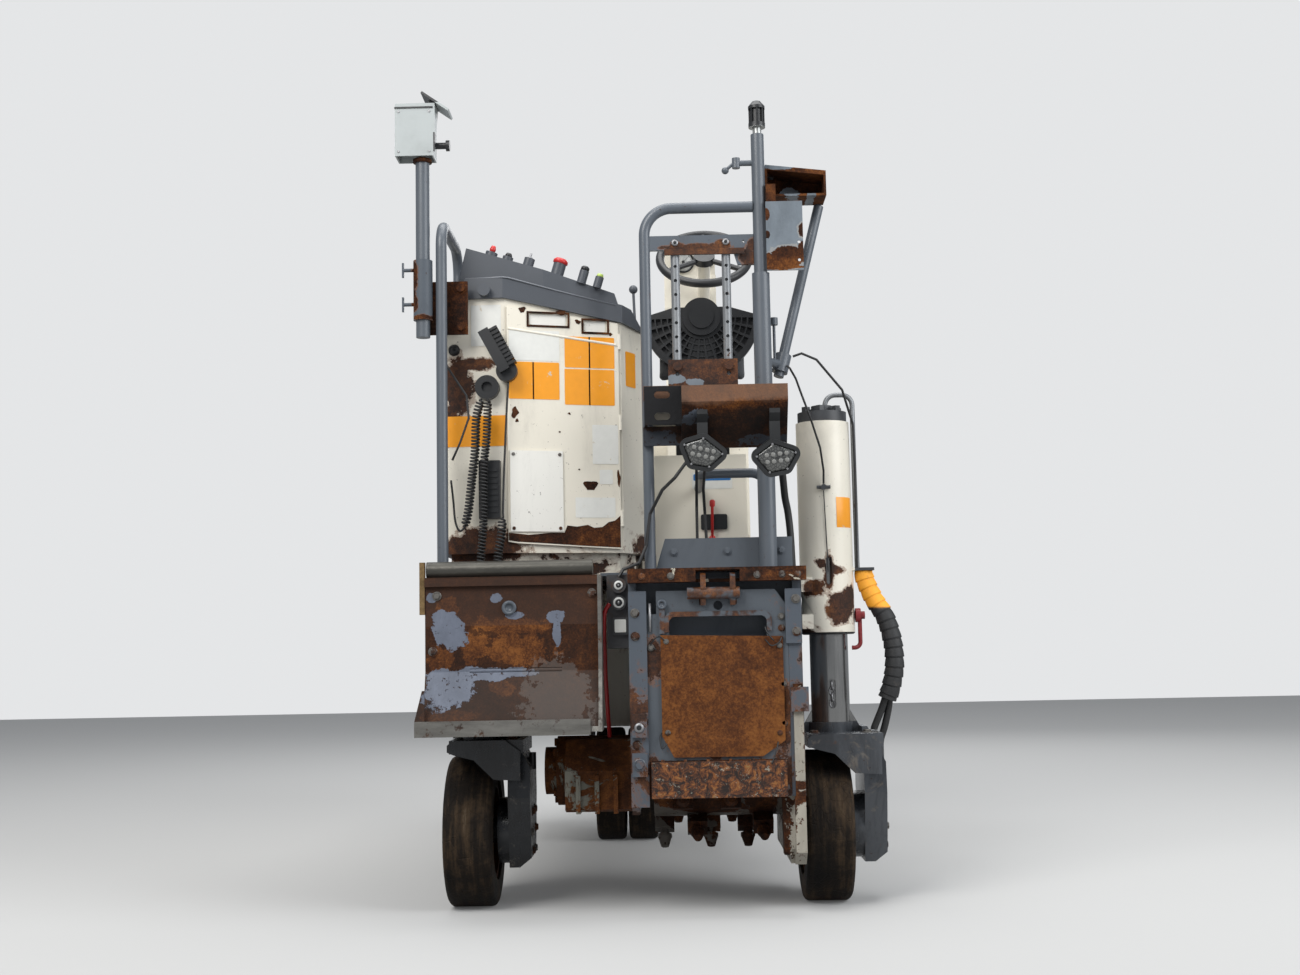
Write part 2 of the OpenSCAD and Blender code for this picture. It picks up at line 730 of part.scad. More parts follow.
module cabinet() {
  tall = cabinet_top - cabinet_z + 10;
  color(cream) difference() {
    intersection() {
      translate([0, 0, cabinet_z]) linear_extrude(tall) polygon(cabinet_plan(0));
      prism_y(cab_back - 20, cab_front, cabinet_face(0));
    }
    intersection() {
      translate([0, 0, cabinet_z]) linear_extrude(tall) polygon(cabinet_plan(sheet_t));
      prism_y(cab_back - 20, cab_front, cabinet_face(sheet_t));
    }
    z_cyl(column_d + 2 * snug, cabinet_z - eps, cabinet_z + 30, left_axis, rear_y);
  }
  // Plinth on the wheel housing and the deck
  color(rust) difference() {
    translate([0, 0, deck_top]) linear_extrude(cabinet_z - deck_top)
      polygon(cabinet_plan(26));
    z_cyl(column_d + 2 * snug, deck_top - eps, cabinet_z + eps, left_axis, rear_y);
  }
  color(rust) difference() {
    box3(cabinet_x0 + 40, house_x1 - 20, cab_back + 40, chassis_y0, house_top, deck_top);
    z_cyl(column_d + 2 * snug, house_top - eps, deck_top + eps, left_axis, rear_y);
  }
}

module cabinet_cover() {
  // Cover with a rolled edge on the angled rear face, with two grips near its top
  turn = atan2(face_in, face_x1 - fold_x);
  top0 = cabinet_top - 24;
  fall = 36;
  color(cream) translate([fold_x, cab_back - 10, 0]) rotate([0, 0, turn]) {
    difference() {
      prism_y(-9, -1, [[4, cabinet_z + 30], [4, top0], [cover_w, top0 - fall],
        [cover_w, cabinet_z + 10], [30, cabinet_z + 26]]);
      for (g = [[66, 176, 1597], [222, 290, 1583]])
        round_y(g[0], g[1], -10, -3, g[2], g[2] + 36, 10);
    }
    // Edge bead at the top and the right
    rod(8, [8, -8, top0 - 62], [cover_w - 6, -8, top0 - fall - 62]);
    // Bare plate screwed on the lower left
    box3(8, 158, -13, -9 + eps / 2, 1022, 1247);
  }
}

module control_console() {
  slope = atan2(wedge_h + lip_h - 25, 411);
  // Place along the wedge, diameter and height of each switch
  switches = [[68, 34, 14], [116, 30, 14], [176, 30, 26], [262, 36, 34], [334, 26, 34],
    [380, 24, 28]];
  y = cab_back + 40;
  color(grey) intersection() {
    union() {
      // Lip along the top of the cabinet
      prism_y(cab_back - 40, cab_back + 330, [[-512, cabinet_top], [-478, cabinet_top + lip_h],
        [fold_x, cabinet_top + lip_h], [-22, cabinet_top - 12], [10, cabinet_top - 64],
        [cabinet_x1, cabinet_top - cabinet_fall], [fold_x, cabinet_top]]);
      // Wedge that carries the switches
      prism_y(cab_back + 10, cab_back + 310, [[-500, cabinet_top + lip_h],
        [-478, cabinet_top + lip_h + wedge_h], [-67, cabinet_top + 25],
        [-57, cabinet_top - 6], [fold_x, cabinet_top + lip_h]]);
    }
    translate([0, 0, cabinet_z]) linear_extrude(1000) polygon(cabinet_plan(-12));
  }
  color(dark) {
    translate([-478, y, cabinet_top + lip_h + wedge_h]) rotate([0, slope, 0])
      for (s = switches) translate([s[0], 0, -4]) cylinder(d = s[1], h = s[2] + 4);
    // Round knob on the lip, and the lever at the console's right end
    y_cyl(34, cab_back - 42, cab_back - 4, -424, cabinet_top + 20);
    rod(8, [-14, rear_y + 150, cabinet_top - 40], [-18, rear_y + 150, 1754]);
    translate([-18, rear_y + 150, 1761]) sphere(d = 26, $fn = 24);
  }
}

module handset() {
  y = cab_back - 30;
  color(dark) {
    // Body with its ribbed back, hung on the cabinet
    translate([-384, y, 1520]) rotate([0, -28, 0]) {
      box3(-26, 4, -42, 2, -62, 66);
      for (z = [-54 : 12 : 54]) box3(3, 28, -34, -2, z, z + 7);
      box3(0, 20, -30, -4, -56, 60);
    }
    y_cyl(58, y - 22, y + 4, -362, 1462);
    y_cyl(20, y - 2, cab_back - 10, -384, 1530);
    // Round socket of the coiled leads
    difference() {
      y_cyl(66, y - 8, cab_back - 9.4, -418, 1420);
      y_cyl(30, y - 9, y + 4, -418, 1420);
    }
  }
}

module keypad_box() {
  y = cab_back - 40;
  color(dark) {
    box3(-442, -384, y, cab_back - 9.6, 1058, 1217);
    for (z = [1074 : 16 : 1200]) box3(-428, -390, y - 3, y + eps, z, z + 9);
  }
}

module fuel_tank() {
  color(cream) box3(cabinet_x0, cabinet_x1 - 15, cab_front, bulk_y, deck_top, hood_top - 60);
  color(dark) z_cyl(70, hood_top - 60, hood_top - 35, -282, bulk_y - 120);
}

module left_handrail() {
  y0 = mast_y;
  y1 = y0 + 350;
  r = 70;
  top = 1868;
  color(grey) {
    z_cyl(rail_d, house_top, top - r, rail_x, y0);
    bend_yz(rail_d, r, rail_x, y0 + r, top - r, 90);
    translate([rail_x, y0 + r, top]) rotate([-90, 0, 0]) cylinder(d = rail_d, h = y1 - y0 - 2 * r);
    bend_yz(rail_d, r, rail_x, y1 - r, top - r, 0);
    z_cyl(rail_d, cabinet_top, top - r, rail_x, y1);
  }
}

module mast_clamp() {
  z0 = 1564;
  z1 = 1711;
  color(rust) {
    box3(clamp_x0, clamp_x1, clamp_y, clamp_y + 10, z0, z1);
    for (z = [z0 + 26, z0 + 90]) y_cyl(24, clamp_y + 9, cab_back - 4.7, -484, z);
    for (z = [z0 + 20, z1 - 20]) y_cyl(22, clamp_y - 12, clamp_y + eps, -484, z);
  }
  color(grey) {
    difference() {
      union() {
        z_cyl(mast_d + 14, 1595, 1760, mast_x, mast_y);
        for (z = [1620, 1690])
          box3(mast_x - 10, mast_x + 10, mast_y, clamp_y + eps, z, z + 16);
      }
      z_cyl(mast_d + 2 * snug, 1594, 1761, mast_x, mast_y);
    }
    // Wing screws
    for (z = [1640, 1735]) {
      x_cyl(10, mast_x - mast_d / 2 - 34, mast_x - mast_d / 2 - 3, mast_y, z);
      box3(mast_x - mast_d / 2 - 38, mast_x - mast_d / 2 - 33, mast_y - 4, mast_y + 4,
        z - 20, z + 20);
    }
  }
}

module guard_frame() {
  r = 75;
  x1 = pole_x - pole_top_d / 2;
  color(grey) {
    z_cyl(rail_d, deck_top, guard_top - r, guard_x, guard_y);
    bend_xz(rail_d, r, guard_x + r, guard_y, guard_top - r, 90);
    x_cyl(rail_d, guard_x + r, x1, guard_y, guard_top);
    // Flat cross bar with its gusset to the pole
    difference() {
      union() {
        box3(guard_x + rail_d / 2 - 3, x1, guard_y - 6, guard_y + 6, bar_top, bar_top + cross_h);
        prism_y(guard_y - 6, guard_y + 6, [[x1 - 58, bar_top + 1], [x1 - 44, bar_top - 44],
          [x1, bar_top - 44], [x1, bar_top + 1]]);
      }
      for (z = [bar_top + 20, bar_top - 8]) y_cyl(8, guard_y - 7, guard_y + 7, x1 - 28, z);
    }
  }
}

module main_pole() {
  split = 1710;
  knob = [pole_x - 90, guard_y, 2000];
  color(grey) {
    z_cyl(pole_d, deck_top, split, pole_x, guard_y);
    z_cyl(pole_top_d, split, pole_top, pole_x, guard_y);
    // Clamp lever
    x_cyl(16, pole_x - 62, pole_x - pole_top_d / 2 + 2, guard_y, 2020);
    z_cyl(22, 2006, 2034, pole_x - 60, guard_y);
    rod(9, [pole_x - 62, guard_y, 2024], knob);
    translate(knob) sphere(d = 20, $fn = 24);
  }
}

// Bent rail from the seat's pedestal to the deck, behind the lamps
module knee_rail() {
  d = 26;
  r = 45;
  x0 = 165;
  x1 = 345;
  y = guard_y + 80;
  z = 1172;
  color(grey) {
    translate([x0, y + r, z]) rotate([-90, 0, 0]) cylinder(d = d, h = rear_y + 250 - y - r);
    bend_xy(d, r, x0 + r, y + r, z, 180);
    x_cyl(d, x0 + r, x1 - r, y, z);
    bend_xz(d, r, x1 - r, y, z - r, 0);
    z_cyl(d, deck_top, z - r, x1, y);
  }
}

// Beacon socket with a caged head
module beacon() {
  z = pole_top + 20;
  cage = 46;
  ribs = 8;
  color(steel) z_cyl(24, pole_top, z, pole_x, guard_y);
  color(dark) {
    z_cyl(cage, z, z + 12, pole_x, guard_y);
    z_cyl(cage, z + 52, z + 60, pole_x, guard_y);
    z_cyl(cage - 14, z + 11, z + 53, pole_x, guard_y);
    translate([pole_x, guard_y, z + 60]) cylinder(d1 = cage, d2 = cage * 0.5, h = 14);
    for (i = [0 : ribs - 1]) translate([pole_x, guard_y, z + 10]) rotate([0, 0, 360 * i / ribs])
      translate([cage / 2 - 10, -2, 0]) cube([9, 4, 44]);
  }
}

// Two upright tubes with rows of holes, between the cross bar and the lamp beam
module backrest_bars() {
  z0 = beam_top + 16;
  pitch = 39;
  y1 = guard_y - bar_d / 2;
  color(steel) for (x = bar_x) difference() {
    z_cyl(bar_d, z0, bar_top, x, guard_y);
    for (z = [z0 + 98 : pitch : bar_top - 20]) y_cyl(9, guard_y - 20, guard_y, x, z);
  }
  // Rusty mounting plates at their foot and head
  color(rust) {
    difference() {
      box3(80, 268, y1 - 8, y1 + 2, z0, z0 + 73);
      for (x = bar_x) y_cyl(12, guard_y - 40, guard_y - bar_d / 2 + 1, x, z0 + 34);
    }
    for (x = bar_x) y_cyl(24, y1 - 16, y1 - 7, x, z0 + 54);
    box3(76, pole_x - pole_d / 2 - 20, y1 - 6, y1 + 2, bar_top - 16, bar_top);
  }
}

module lamp_beam() {
  t = 6;
  profile = [[beam_y, beam_top], [beam_y, beam_top - beam_lip], [beam_y + beam_slope, beam_low],
    [beam_back, beam_low], [beam_back, beam_top + 16]];
  color(rust) {
    // Folded beam, open towards the seat
    difference() {
      prism_x(beam_x0, beam_x1, profile);
      prism_x(beam_x0 + t, beam_x1 - t, [[beam_y + t, beam_top - t],
        [beam_y + t, beam_top - beam_lip + 2], [beam_y + beam_slope + 3, beam_low + t],
        [beam_back + eps, beam_low + t], [beam_back + eps, beam_top + 16 - t]]);
    }
    // Strip across both posts, and its saddles
    box3(guard_x - 10, beam_x1, beam_back, beam_back + strip_t, beam_low + 10, beam_low + 62);
    box3(guard_x - 10, beam_x1, beam_back, beam_back + strip_t, beam_top - 24, beam_top + 16);
    box3(guard_x - 12, guard_x + 12, beam_back + strip_t - eps, guard_y - rail_d / 2 - snug,
      beam_low + 12, beam_low + 60);
    box3(pole_x - 12, pole_x + 12, beam_back + strip_t - eps, guard_y - pole_d / 2 - snug,
      beam_low + 12, beam_low + 60);
  }
  // Hook plate with two slots
  color(dark) difference() {
    union() {
      box3(guard_x - 8, beam_x0 + 1, beam_back - 36, beam_back - 28, 1289, 1393);
      box3(guard_x - 8, guard_x, beam_back - 36, beam_back + 1, 1289, 1393);
    }
    for (z = [1312, 1370]) round_y(41, 83, beam_back - 40, beam_back - 20, z - 10, z + 10, 9.9);
  }
}

// Finned lamp with a rounded face, hung below the beam at x
lamp_y = beam_y - 4;
module lamp(x, z, turn) {
  r = 22;
  k = lamp_w / 2 - r;
  m = lamp_h / 2 - r;
  tilt = 10;
  // Corners of the face as shares of its half sizes
  face = [[-1, 0.25], [-0.15, 1], [0.95, 0.2], [0.45, -0.9], [-0.45, -1]];
  translate([x, lamp_y, z]) rotate([tilt, turn, 0]) {
    difference() {
      hull() for (p = face) y_cyl(2 * r, -14, 22, p.x * k, p.y * m);
      hull() for (p = face) y_cyl(2 * r - 22, -16, -6, p.x * k, p.y * m);
    }
    intersection() {
      union() for (i = [-5 : 5]) box3(i * 11 - 2.5, i * 11 + 2.5, 20, 58, -60, 60);
      hull() {
        for (p = face) y_cyl(2 * r - 6, 18, 24, p.x * k, p.y * m);
        y_cyl(60, 52, 58, 0, 0);
      }
    }
    y_cyl(50, 21, 50, 0, 0);
  }
}
// Height of the beam's sloping underside, less a hair's gap
function beam_under(y) = beam_top - beam_lip - 1
  - (y - beam_y) * (beam_top - beam_lip - beam_low) / beam_slope;
module work_lamps() {
  y = lamp_y + 34;
  t = 6;
  color(dark) for (l = [[167, 1205, 14], [358, 1188, -6]]) {
    lamp(l[0], l[1], l[2]);
    // Stirrup up to the beam, and its foot along the slope
    prism_x(l[0] - 14, l[0] + 14, [[y, l[1]], [y, beam_under(y)], [y + t, beam_under(y + t)],
      [y + t, l[1]]]);
    prism_x(l[0] - 14, l[0] + 14, [for (e = [[-16, 2 * t], [-16, 0], [20, 0], [20, 2 * t]])
      [y + e[0], beam_under(y + e[0]) - e[1]]]);
  }
}

module tool_box() {
  x0 = pole_x + 21;
  x1 = x0 + 168;
  y0 = guard_y + 30;
  y1 = guard_y + 130;
  z0 = 1934;
  z1 = 2010;
  t = 6;
  // Open box whose left end stands higher
  color(rust) difference() {
    prism_y(y0, y1, [[x0, z0], [x0, z1 + 14], [x1, z1 - 6], [x1, z0]]);
    prism_y(y0 - eps, y1 - t, [[x0 + t, z0 + t], [x0 + t, z1], [x1 - t, z1 - 18],
      [x1 - t, z0 + t]]);
  }
  // Plate bolted to the pole, and the arm that carries the box
  color(grey) {
    difference() {
      box3(x0 - 5, x0 + 95, guard_y - 26, guard_y - 20, 1712, 1904);
      for (z = [1740, 1790]) y_cyl(9, guard_y - 27, guard_y - 19, x0 + 84, z);
    }
    box3(x0 - 2, x0 + 24, guard_y - 21, y0 + eps, 1890, z0 + 20);
  }
}

brace_top = [514, guard_y + 130, 1930];
brace_low = [383, guard_y + 60, 1434];
module diagonal_brace() {
  run = brace_top - brace_low;
  tee = brace_low + 0.07 * run;
  start = [pole_x, guard_y, tee.z]
    + (pole_d / 2 + snug) * unit([tee.x - pole_x, tee.y - guard_y, 0]);
  lever = (start + tee) / 2;
  color(grey) {
    rod(28, brace_low, brace_top);
    // Tee clamp to the pole
    rod(24, start, tee);
    rod(44, brace_low + 0.025 * run, brace_low + 0.125 * run);
    // Hand lever on the clamp
    z_cyl(8, lever.z, lever.z + 108, lever.x, lever.y);
    z_cyl(22, lever.z + 106, lever.z + 126, lever.x, lever.y);
  }
}

module seat_pedestal() {
  x1 = pedestal_x0 + pedestal_w;
  color(cream) box3(pedestal_x0, x1, rear_y + 250, rear_y + 530, deck_top, pedestal_top);
}

// Low seat back whose lower half is moulded as a ribbed fan
module seat_shell() {
  t = 22;
  hub_r = 56;
  // Inner and outer radius of each ring of pockets
  rings = [[66, 80], [84, 98], [102, 116], [120, 134], [138, 152]];
  rays = 15;
  span = 180;
  half = seat_w / 2;
  color(dark) difference() {
    union() {
      intersection() {
        y_cyl(2 * fan_r, seat_y, seat_y + t, seat_x, fan_z);
        prism_y(seat_y - 1, seat_y + t + 1, [[seat_x - half, fan_z - fan_r],
          [seat_x - half, fan_z + 8], [seat_x - 80, fan_z + 30], [seat_x + 80, fan_z + 30],
          [seat_x + half, fan_z + 8], [seat_x + half, fan_z - fan_r]]);
      }
      y_cyl(2 * hub_r, seat_y - 10, seat_y + t, seat_x, fan_z);
      y_cyl(2 * hub_r - 40, seat_y - 16, seat_y, seat_x, fan_z);
    }
    // Pockets between the rays
    for (r = rings) for (i = [0 : rays - 1])
      translate([seat_x, seat_y + 12, fan_z]) rotate([90, 0, 0])
        rotate([0, 0, 180 + (i + 0.14) * span / rays])
        rotate_extrude(angle = 0.72 * span / rays) translate([r[0], 0])
        square([r[1] - r[0], 13]);
  }
  color(dark) {
    box3(seat_x - 40, seat_x + 40, seat_y + 4, seat_y + t, seat_z, fan_z - 60);
    box3(seat_x - 150, seat_x + 150, seat_y, rear_y + 560, seat_z - 24, seat_z);
    box3(seat_x - 80, seat_x + 80, rear_y + 270, rear_y + 500, pedestal_top, seat_z - 24);
  }
}

module seat_cushion() {
  color(rubber) {
    box3(seat_x - 160, seat_x + 160, rear_y + 190, rear_y + 570, seat_z + snug, seat_z + 66);
    box3(seat_x - 140, seat_x + 140, seat_y + 22 + snug, seat_y + 70, seat_z + 71, fan_z + 37);
  }
}

wheel_mid = [208, rear_y + 660, 1978];
wheel_tilt = 47;
module steering_console() {
  y = bulk_y - 4;
  top = 1960;
  color(cream) prism_x(console_x0, console_x1, [[y - 130, deck_top], [y - 110, 1700],
    [y - 150, 1850], [y - 150, top], [y - 60, top], [y, 1900], [y, deck_top]]);
  color(dark) {
    // Gauge pod that leans over the wheel, and the steering column
    prism_x(console_x0 + 2, console_x1 - 2, [[y - 146, top - 4], [y - 172, top + 84],
      [y - 158, top + 92], [y - 100, top + 92], [y - 80, top + 70], [y - 80, top - 4]]);
    rod(40, [wheel_mid.x, y - 120, 1860], wheel_mid - [0, -12, 12]);
  }
}

module steering_wheel() {
  rim_t = 28;
  color(rubber) translate(wheel_mid) rotate([wheel_tilt, 0, 0]) {
    rotate_extrude($fn = 60) translate([steer_d / 2, 0]) circle(d = rim_t, $fn = 24);
    cylinder(d = 70, h = 24, center = true);
    for (a = [90, 210, 330]) rotate([0, 0, a]) rotate([0, 90, 0])
      cylinder(d = 18, h = steer_d / 2 - 6);
  }
}

hood_y = bulk_y + chassis_wall + 5;
hood_x0 = chassis_x0 + 6;
hood_x1 = chassis_x1 - 6;
hood_z = chassis_top + 5;
module hood_form(w) {
  x0 = hood_x0 + w;
  x1 = hood_x1 - w;
  z0 = hood_z - (w > 0 ? eps : 0);
  z1 = hood_top - w;
  y1 = weight_y - w;
  intersection() {
    prism_x(x0, x1, [[hood_y + w, z0], [hood_y + w, z1 - 20], [hood_y + w + 20, z1],
      [y1 - 190, z1], [y1 - 60, z1 - 60], [y1 - 10, z1 - 180], [y1, z0]]);
    prism_y(hood_y, weight_y, [[x0, z0], [x0, z1 - 60], [x0 + 50, z1], [x1 - 50, z1],
      [x1, z1 - 60], [x1, z0]]);
  }
}
module engine_hood() {
  pitch = 34;
  gap = knuckle_w / 2 + 5;
  color(cream) difference() {
    hood_form(0);
    hood_form(hood_t);
    // Side louvres
    for (i = [0 : louvres - 1])
      box3(hood_x0 - 10, hood_x1 + 10, front_y - 260 + i * pitch,
        front_y - 246 + i * pitch, chassis_top + 140, chassis_top + 360);
    // Front grille
    for (i = [0 : 7])
      box3(chassis_mid - 280, chassis_mid + 280, weight_y - 70, weight_y + eps,
        chassis_top + 70 + i * 32, chassis_top + 88 + i * 32);
    // Room round the frame's hinge eyes
    for (x = hinge_x) box3(x - gap, x + gap, hinge_y - 20, weight_y + eps, hood_z - eps,
      hinge_z + 22);
  }
  // Hinge knuckles with their pins
  color(dark) for (x = hinge_x) for (s = [-1, 1]) {
    x_cyl(knuckle_d, min(x + s * gap, x + s * (gap + 24)), max(x + s * gap, x + s * (gap + 24)),
      hinge_y, hinge_z);
    x_cyl(hinge_pin, min(x, x + s * (gap + 2)), max(x, x + s * (gap + 2)), hinge_y, hinge_z);
  }
}

module front_fork() {
  half = front_tyre_w + front_gap / 2;
  arm0 = half + 9;
  arm1 = arm0 + 18;
  color(dark) {
    z_cyl(pin_d, crown_z + crown_t, chassis_z + head_h - 10, chassis_mid, front_y);
    translate([chassis_mid, front_y, 0]) {
      box3(-arm1, arm1, -70, 70, crown_z, crown_z + crown_t);
      for (x = [-arm1, arm0])
        prism_x(x, x + 18, [[-60, crown_z + eps], [-38, wheel_r - 40], [38, wheel_r - 40],
          [60, crown_z + eps]]);
      x_cyl(50, -arm1 - 8, arm1 + 8, 0, wheel_r);
    }
  }
}

module front_tyres() {
  off = (front_tyre_w + front_gap) / 2;
  color(rubber) for (s = [-1, 1]) tyre(chassis_mid + s * off, front_y, front_tyre_w);
}
module front_hubs() {
  off = (front_tyre_w + front_gap) / 2;
  half = front_tyre_w + front_gap / 2;
  color(steel) difference() {
    union() {
      for (s = [-1, 1]) translate([chassis_mid + s * off - front_tyre_w / 2 + 5, front_y, wheel_r])
        rotate([0, 90, 0]) cylinder(d = rim_d - snug, h = front_tyre_w - 10);
      x_cyl(120, chassis_mid - half - 4, chassis_mid + half + 4, front_y, wheel_r);
    }
    x_cyl(50 + 2 * snug, chassis_mid - 200, chassis_mid + 200, front_y, wheel_r);
  }
}

module left_leg() { color(dark) leg(left_wheel_x); }
module right_leg() { color(dark) leg(right_wheel_x); }
module left_tyre() { color(rubber) tyre(left_wheel_x, rear_y, tyre_w); }
module right_tyre() { color(rubber) tyre(right_wheel_x, rear_y, tyre_w); }
module rear_rim(x) {
  color(steel) difference() {
    rim(x, rear_y, tyre_w - 16);
    x_cyl(shaft_d + 2 * snug, x - 12, x + tyre_w, rear_y, wheel_r);
  }
}
module left_rim() { rear_rim(left_wheel_x); }
module right_rim() { rear_rim(right_wheel_x); }

// A tool leaning in the turning direction reaches the cutting circle with this length
function tool_len(base) = sqrt(pow(base * cos(tool_lean), 2) - base * base
  + pow(tip_d / 2, 2)) - base * cos(tool_lean);
module tool(base) {
  len = tool_len(base);
  cap = 26;
  block = 44;
  translate([base, 0, 0]) rotate([0, 90, 0]) rotate([tool_lean, 0, 0]) {
    cylinder(d = tool_d, h = len - cap, $fn = 24);
    translate([0, 0, len - cap - 8]) cylinder(d = cap_d, h = 8, $fn = 24);
    translate([0, 0, len - cap]) cylinder(d1 = cap_d * 0.95, d2 = cap_d * 0.56, h = cap, $fn = 24);
    translate([-holder_w / 2, -block / 2, -38]) cube([holder_w, block, 62]);
  }
}
module milling_drum() {
  base = shell_d / 2 + 26;
  pitch = (cut_w - holder_w) / (cut_lines - 1);
  wrap = 72;
  color(rust) translate([drum_x, rear_y, drum_z]) {
    x_cyl(shell_d, -cut_w / 2, cut_w / 2, 0, 0);
    x_cyl(drum_shaft, -cut_w / 2 - drum_gap_left - side_t + 5, -cut_w / 2, 0, 0);
    // Two rows of tools wind in from the drum's ends
    for (i = [0 : cut_lines - 1]) {
      side = i < cut_lines / 2 ? i : cut_lines - 1 - i;
      translate([-cut_w / 2 + holder_w / 2 + i * pitch, 0, 0])
        rotate([side * wrap + (i % 2) * 180 + 15, 0, 0]) rotate([0, 90, 0]) tool(base);
    }
  }
}

// Bracket and cross pin at the head of the scraper
lug_x0 = 152;
lug_x1 = 243;
module scraper_frame() {
  win_x0 = scraper_x0 + 65;
  win_x1 = scraper_x1 - 55;
  win_z0 = scraper_z + 150;
  win_z1 = scraper_top - 68;
  back = scraper_back;
  color(grey) {
    difference() {
      prism_y(back, scraper_y, [[scraper_x0, scraper_z], [scraper_x0, scraper_top - 60],
        [scraper_x0 + 32, scraper_top - 60], [scraper_x0 + 32, scraper_top],
        [scraper_x1 - 32, scraper_top], [scraper_x1, scraper_top - 46],
        [scraper_x1, scraper_z]]);
      round_y(win_x0, win_x1, back - eps, scraper_y + eps, win_z0, win_z1, 16);
      y_cyl(24, back - eps, scraper_y + eps, (lug_x0 + lug_x1) / 2, scraper_top - 40);
    }
    // Locking bar
    box3(scraper_x0 + 40, scraper_x0 + 54, back - 10, back, scraper_top - 112, scraper_top - 30);
  }
  color(rust) {
    // Rolled rim round the head of the window
    difference() {
      round_y(win_x0 - 13, win_x1 + 13, back - 9, back, win_z0 + 250, win_z1 + 13, 24);
      round_y(win_x0, win_x1, back - 10, back + 1, win_z0 + 240, win_z1, 16);
      box3(win_x0 - 14, win_x1 + 14, back - 10, back + 1, win_z0 + 240, win_z0 + 276);
    }
    // Lugs with the cross pin
    for (x = [lug_x0, lug_x1 - 14])
      prism_x(x, x + 14, [[back - 34, scraper_top + 4], [back - 34, scraper_top + 38],
        [back - 16, scraper_top + 46], [back, scraper_top - 10], [back, scraper_top - 40],
        [back - 12, scraper_top - 40]]);
    x_cyl(31, lug_x0 - 35, lug_x1 + 11, back - 18, scraper_top - 8);
    // Cutting bar
    box3(bar_x0, bar_x1, back - 22, back, scraper_z, scraper_z + 92);
    for (i = [0 : 5]) z_cyl(9, scraper_z + 90, scraper_z + 98, bar_x0 + 30 + i * 58, back - 11);
  }
}

module scraper_cover() {
  x0 = scraper_x0 + 42;
  x1 = scraper_x1 - 14.5;
  z0 = scraper_z + 103;
  y1 = scraper_back;
  color(rust) prism_y(y1 - 8, y1 - snug, [[x0, z0 + 55], [x0, z0 + 316], [x1, z0 + 308],
    [x1, z0 + 40], [x1 - 58, z0], [x0 + 30, z0]]);
}

// Skid plate inside the right side plate, with its runner and its guided upright
skid_clamp_z = 529;
skid_x1 = box_x1 - 2;
skid_x0 = box_in1 - skid_t - snug;
module side_skid() {
  low = tip_z - 15;
  shoe = 20;
  front = chassis_y0 - 30;
  back = plate_y - 21;
  color(rust) {
    prism_x(skid_x0, box_in1 - snug, [[plate_y + 5, low + 40], [plate_y + 30, low],
      [front, low], [front, low + 238], [plate_y + 5, low + 238]]);
    // Runner under the side plate
    prism_x(box_in1 - snug - eps, skid_x1, [[plate_y + 30, low], [front, low],
      [front, low + shoe], [plate_y + 30, low + shoe]]);
    // Toe and upright behind the side plate
    prism_x(skid_x1 - 28, skid_x1, [[back - 13, low + 35], [plate_y + 10, low],
      [plate_y + 31, low], [plate_y + 31, low + shoe], [plate_y - 4, low + 50],
      [back, low + 70], [back, low + 177], [back - 13, low + 177]]);
    box3(skid_x1 - 25, skid_x1, back - 13 + 3, back, low + 170, skid_clamp_z + 71);
    // Wear block at the plate's rear edge
    box3(skid_x0 - 18, skid_x0 + eps, plate_y + 5, plate_y + 56, low + 25, low + 177);
  }
}

module mast_tube() {
  color(grey) z_cyl(mast_d, mast_z, mast_z + mast_h, mast_x, mast_y);
}
module mast_box() {
  z = mast_z + mast_h;
  box_x = mast_x - 70;
  box_w = 104;
  box_h = 147;
  t = 4;
  color(cream) {
    difference() {
      box3(box_x, box_x + box_w, mast_y - 35, mast_y + 35, z, z + box_h);
      box3(box_x + t, box_x + box_w - t, mast_y - 35 + t, mast_y + 35 - t, z - eps, z + 18);
    }
    z_cyl(mast_d - 6, z, z + 19, mast_x, mast_y);
    prism_x(box_x + box_w - eps, box_x + box_w + 5, [[mast_y - 35, z + 10],
      [mast_y - 35, z + box_h], [mast_y + 35, z + box_h]]);
  }
  color(dark) {
    translate([mast_x + 40, mast_y, z + box_h + 4]) rotate([0, 35, 0])
      cube([90, 80, 6], center = true);
    box3(mast_x + 20, mast_x + 32, mast_y - 20, mast_y + 20, z + box_h - eps, z + box_h + 12);
    x_cyl(18, mast_x + 33, mast_x + 66, mast_y + 10, z + 40);
    x_cyl(30, mast_x + 64, mast_x + 74, mast_y + 10, z + 40);
  }
}

// Routes of the hoses and leads
sleeve = [[620, -850, 904.7], [620, -850, 892], [628, -853, 864], [646, -860, 822],
  [674, -868, 772], [691, -874, 706], [694, -875, 640], [684, -870, 582], [672, -865, 548]];
hose_a = [[668, -868, 556], [656, -864, 520], [641, -862, 485], [634, -862, 468],
  [633, -862, foot_top + 2.4]];
hose_b = [[680, -862, 556], [676, -855, 520], [664, -851, 470], [653, -850, 438],
  [650, -850, foot_top - 41.4]];
cable_a = [[426, -998, 1494], [450, -998, 1502], [492, -985, 1486], [566, -934, 1408],
  [599, -885, 1316], [602, -872, 1180], [601, -868, 1040], [600, -866, 913.4]];
cable_b = [[405.5, -1036.5, 1461], [413, -1043, 1453], [430, -1022, 1428], [446, -1008, 1385],
  [468, -1000, 1325], [496, -974, 1241], [506, -948, 1180], [506, -936, 1145.35]];
scale_wire = [[506, -929, 1127], [510, -928, 1000], [513, -928, 900]];
lead_a = [[126, -1166, 1190], [92, -1160, 1146], [58, -1140, 1116], [24, -1108, 1056],
  [12, -1106, 970], [-8, -1112, 925], [-50, -1118, 908], [-62, -1122, 888.3]];
lead_b = [[150, -1150, 1184], [150, -1090, 1130], [150, -1032, 1080], [150, -1026, 905.4]];
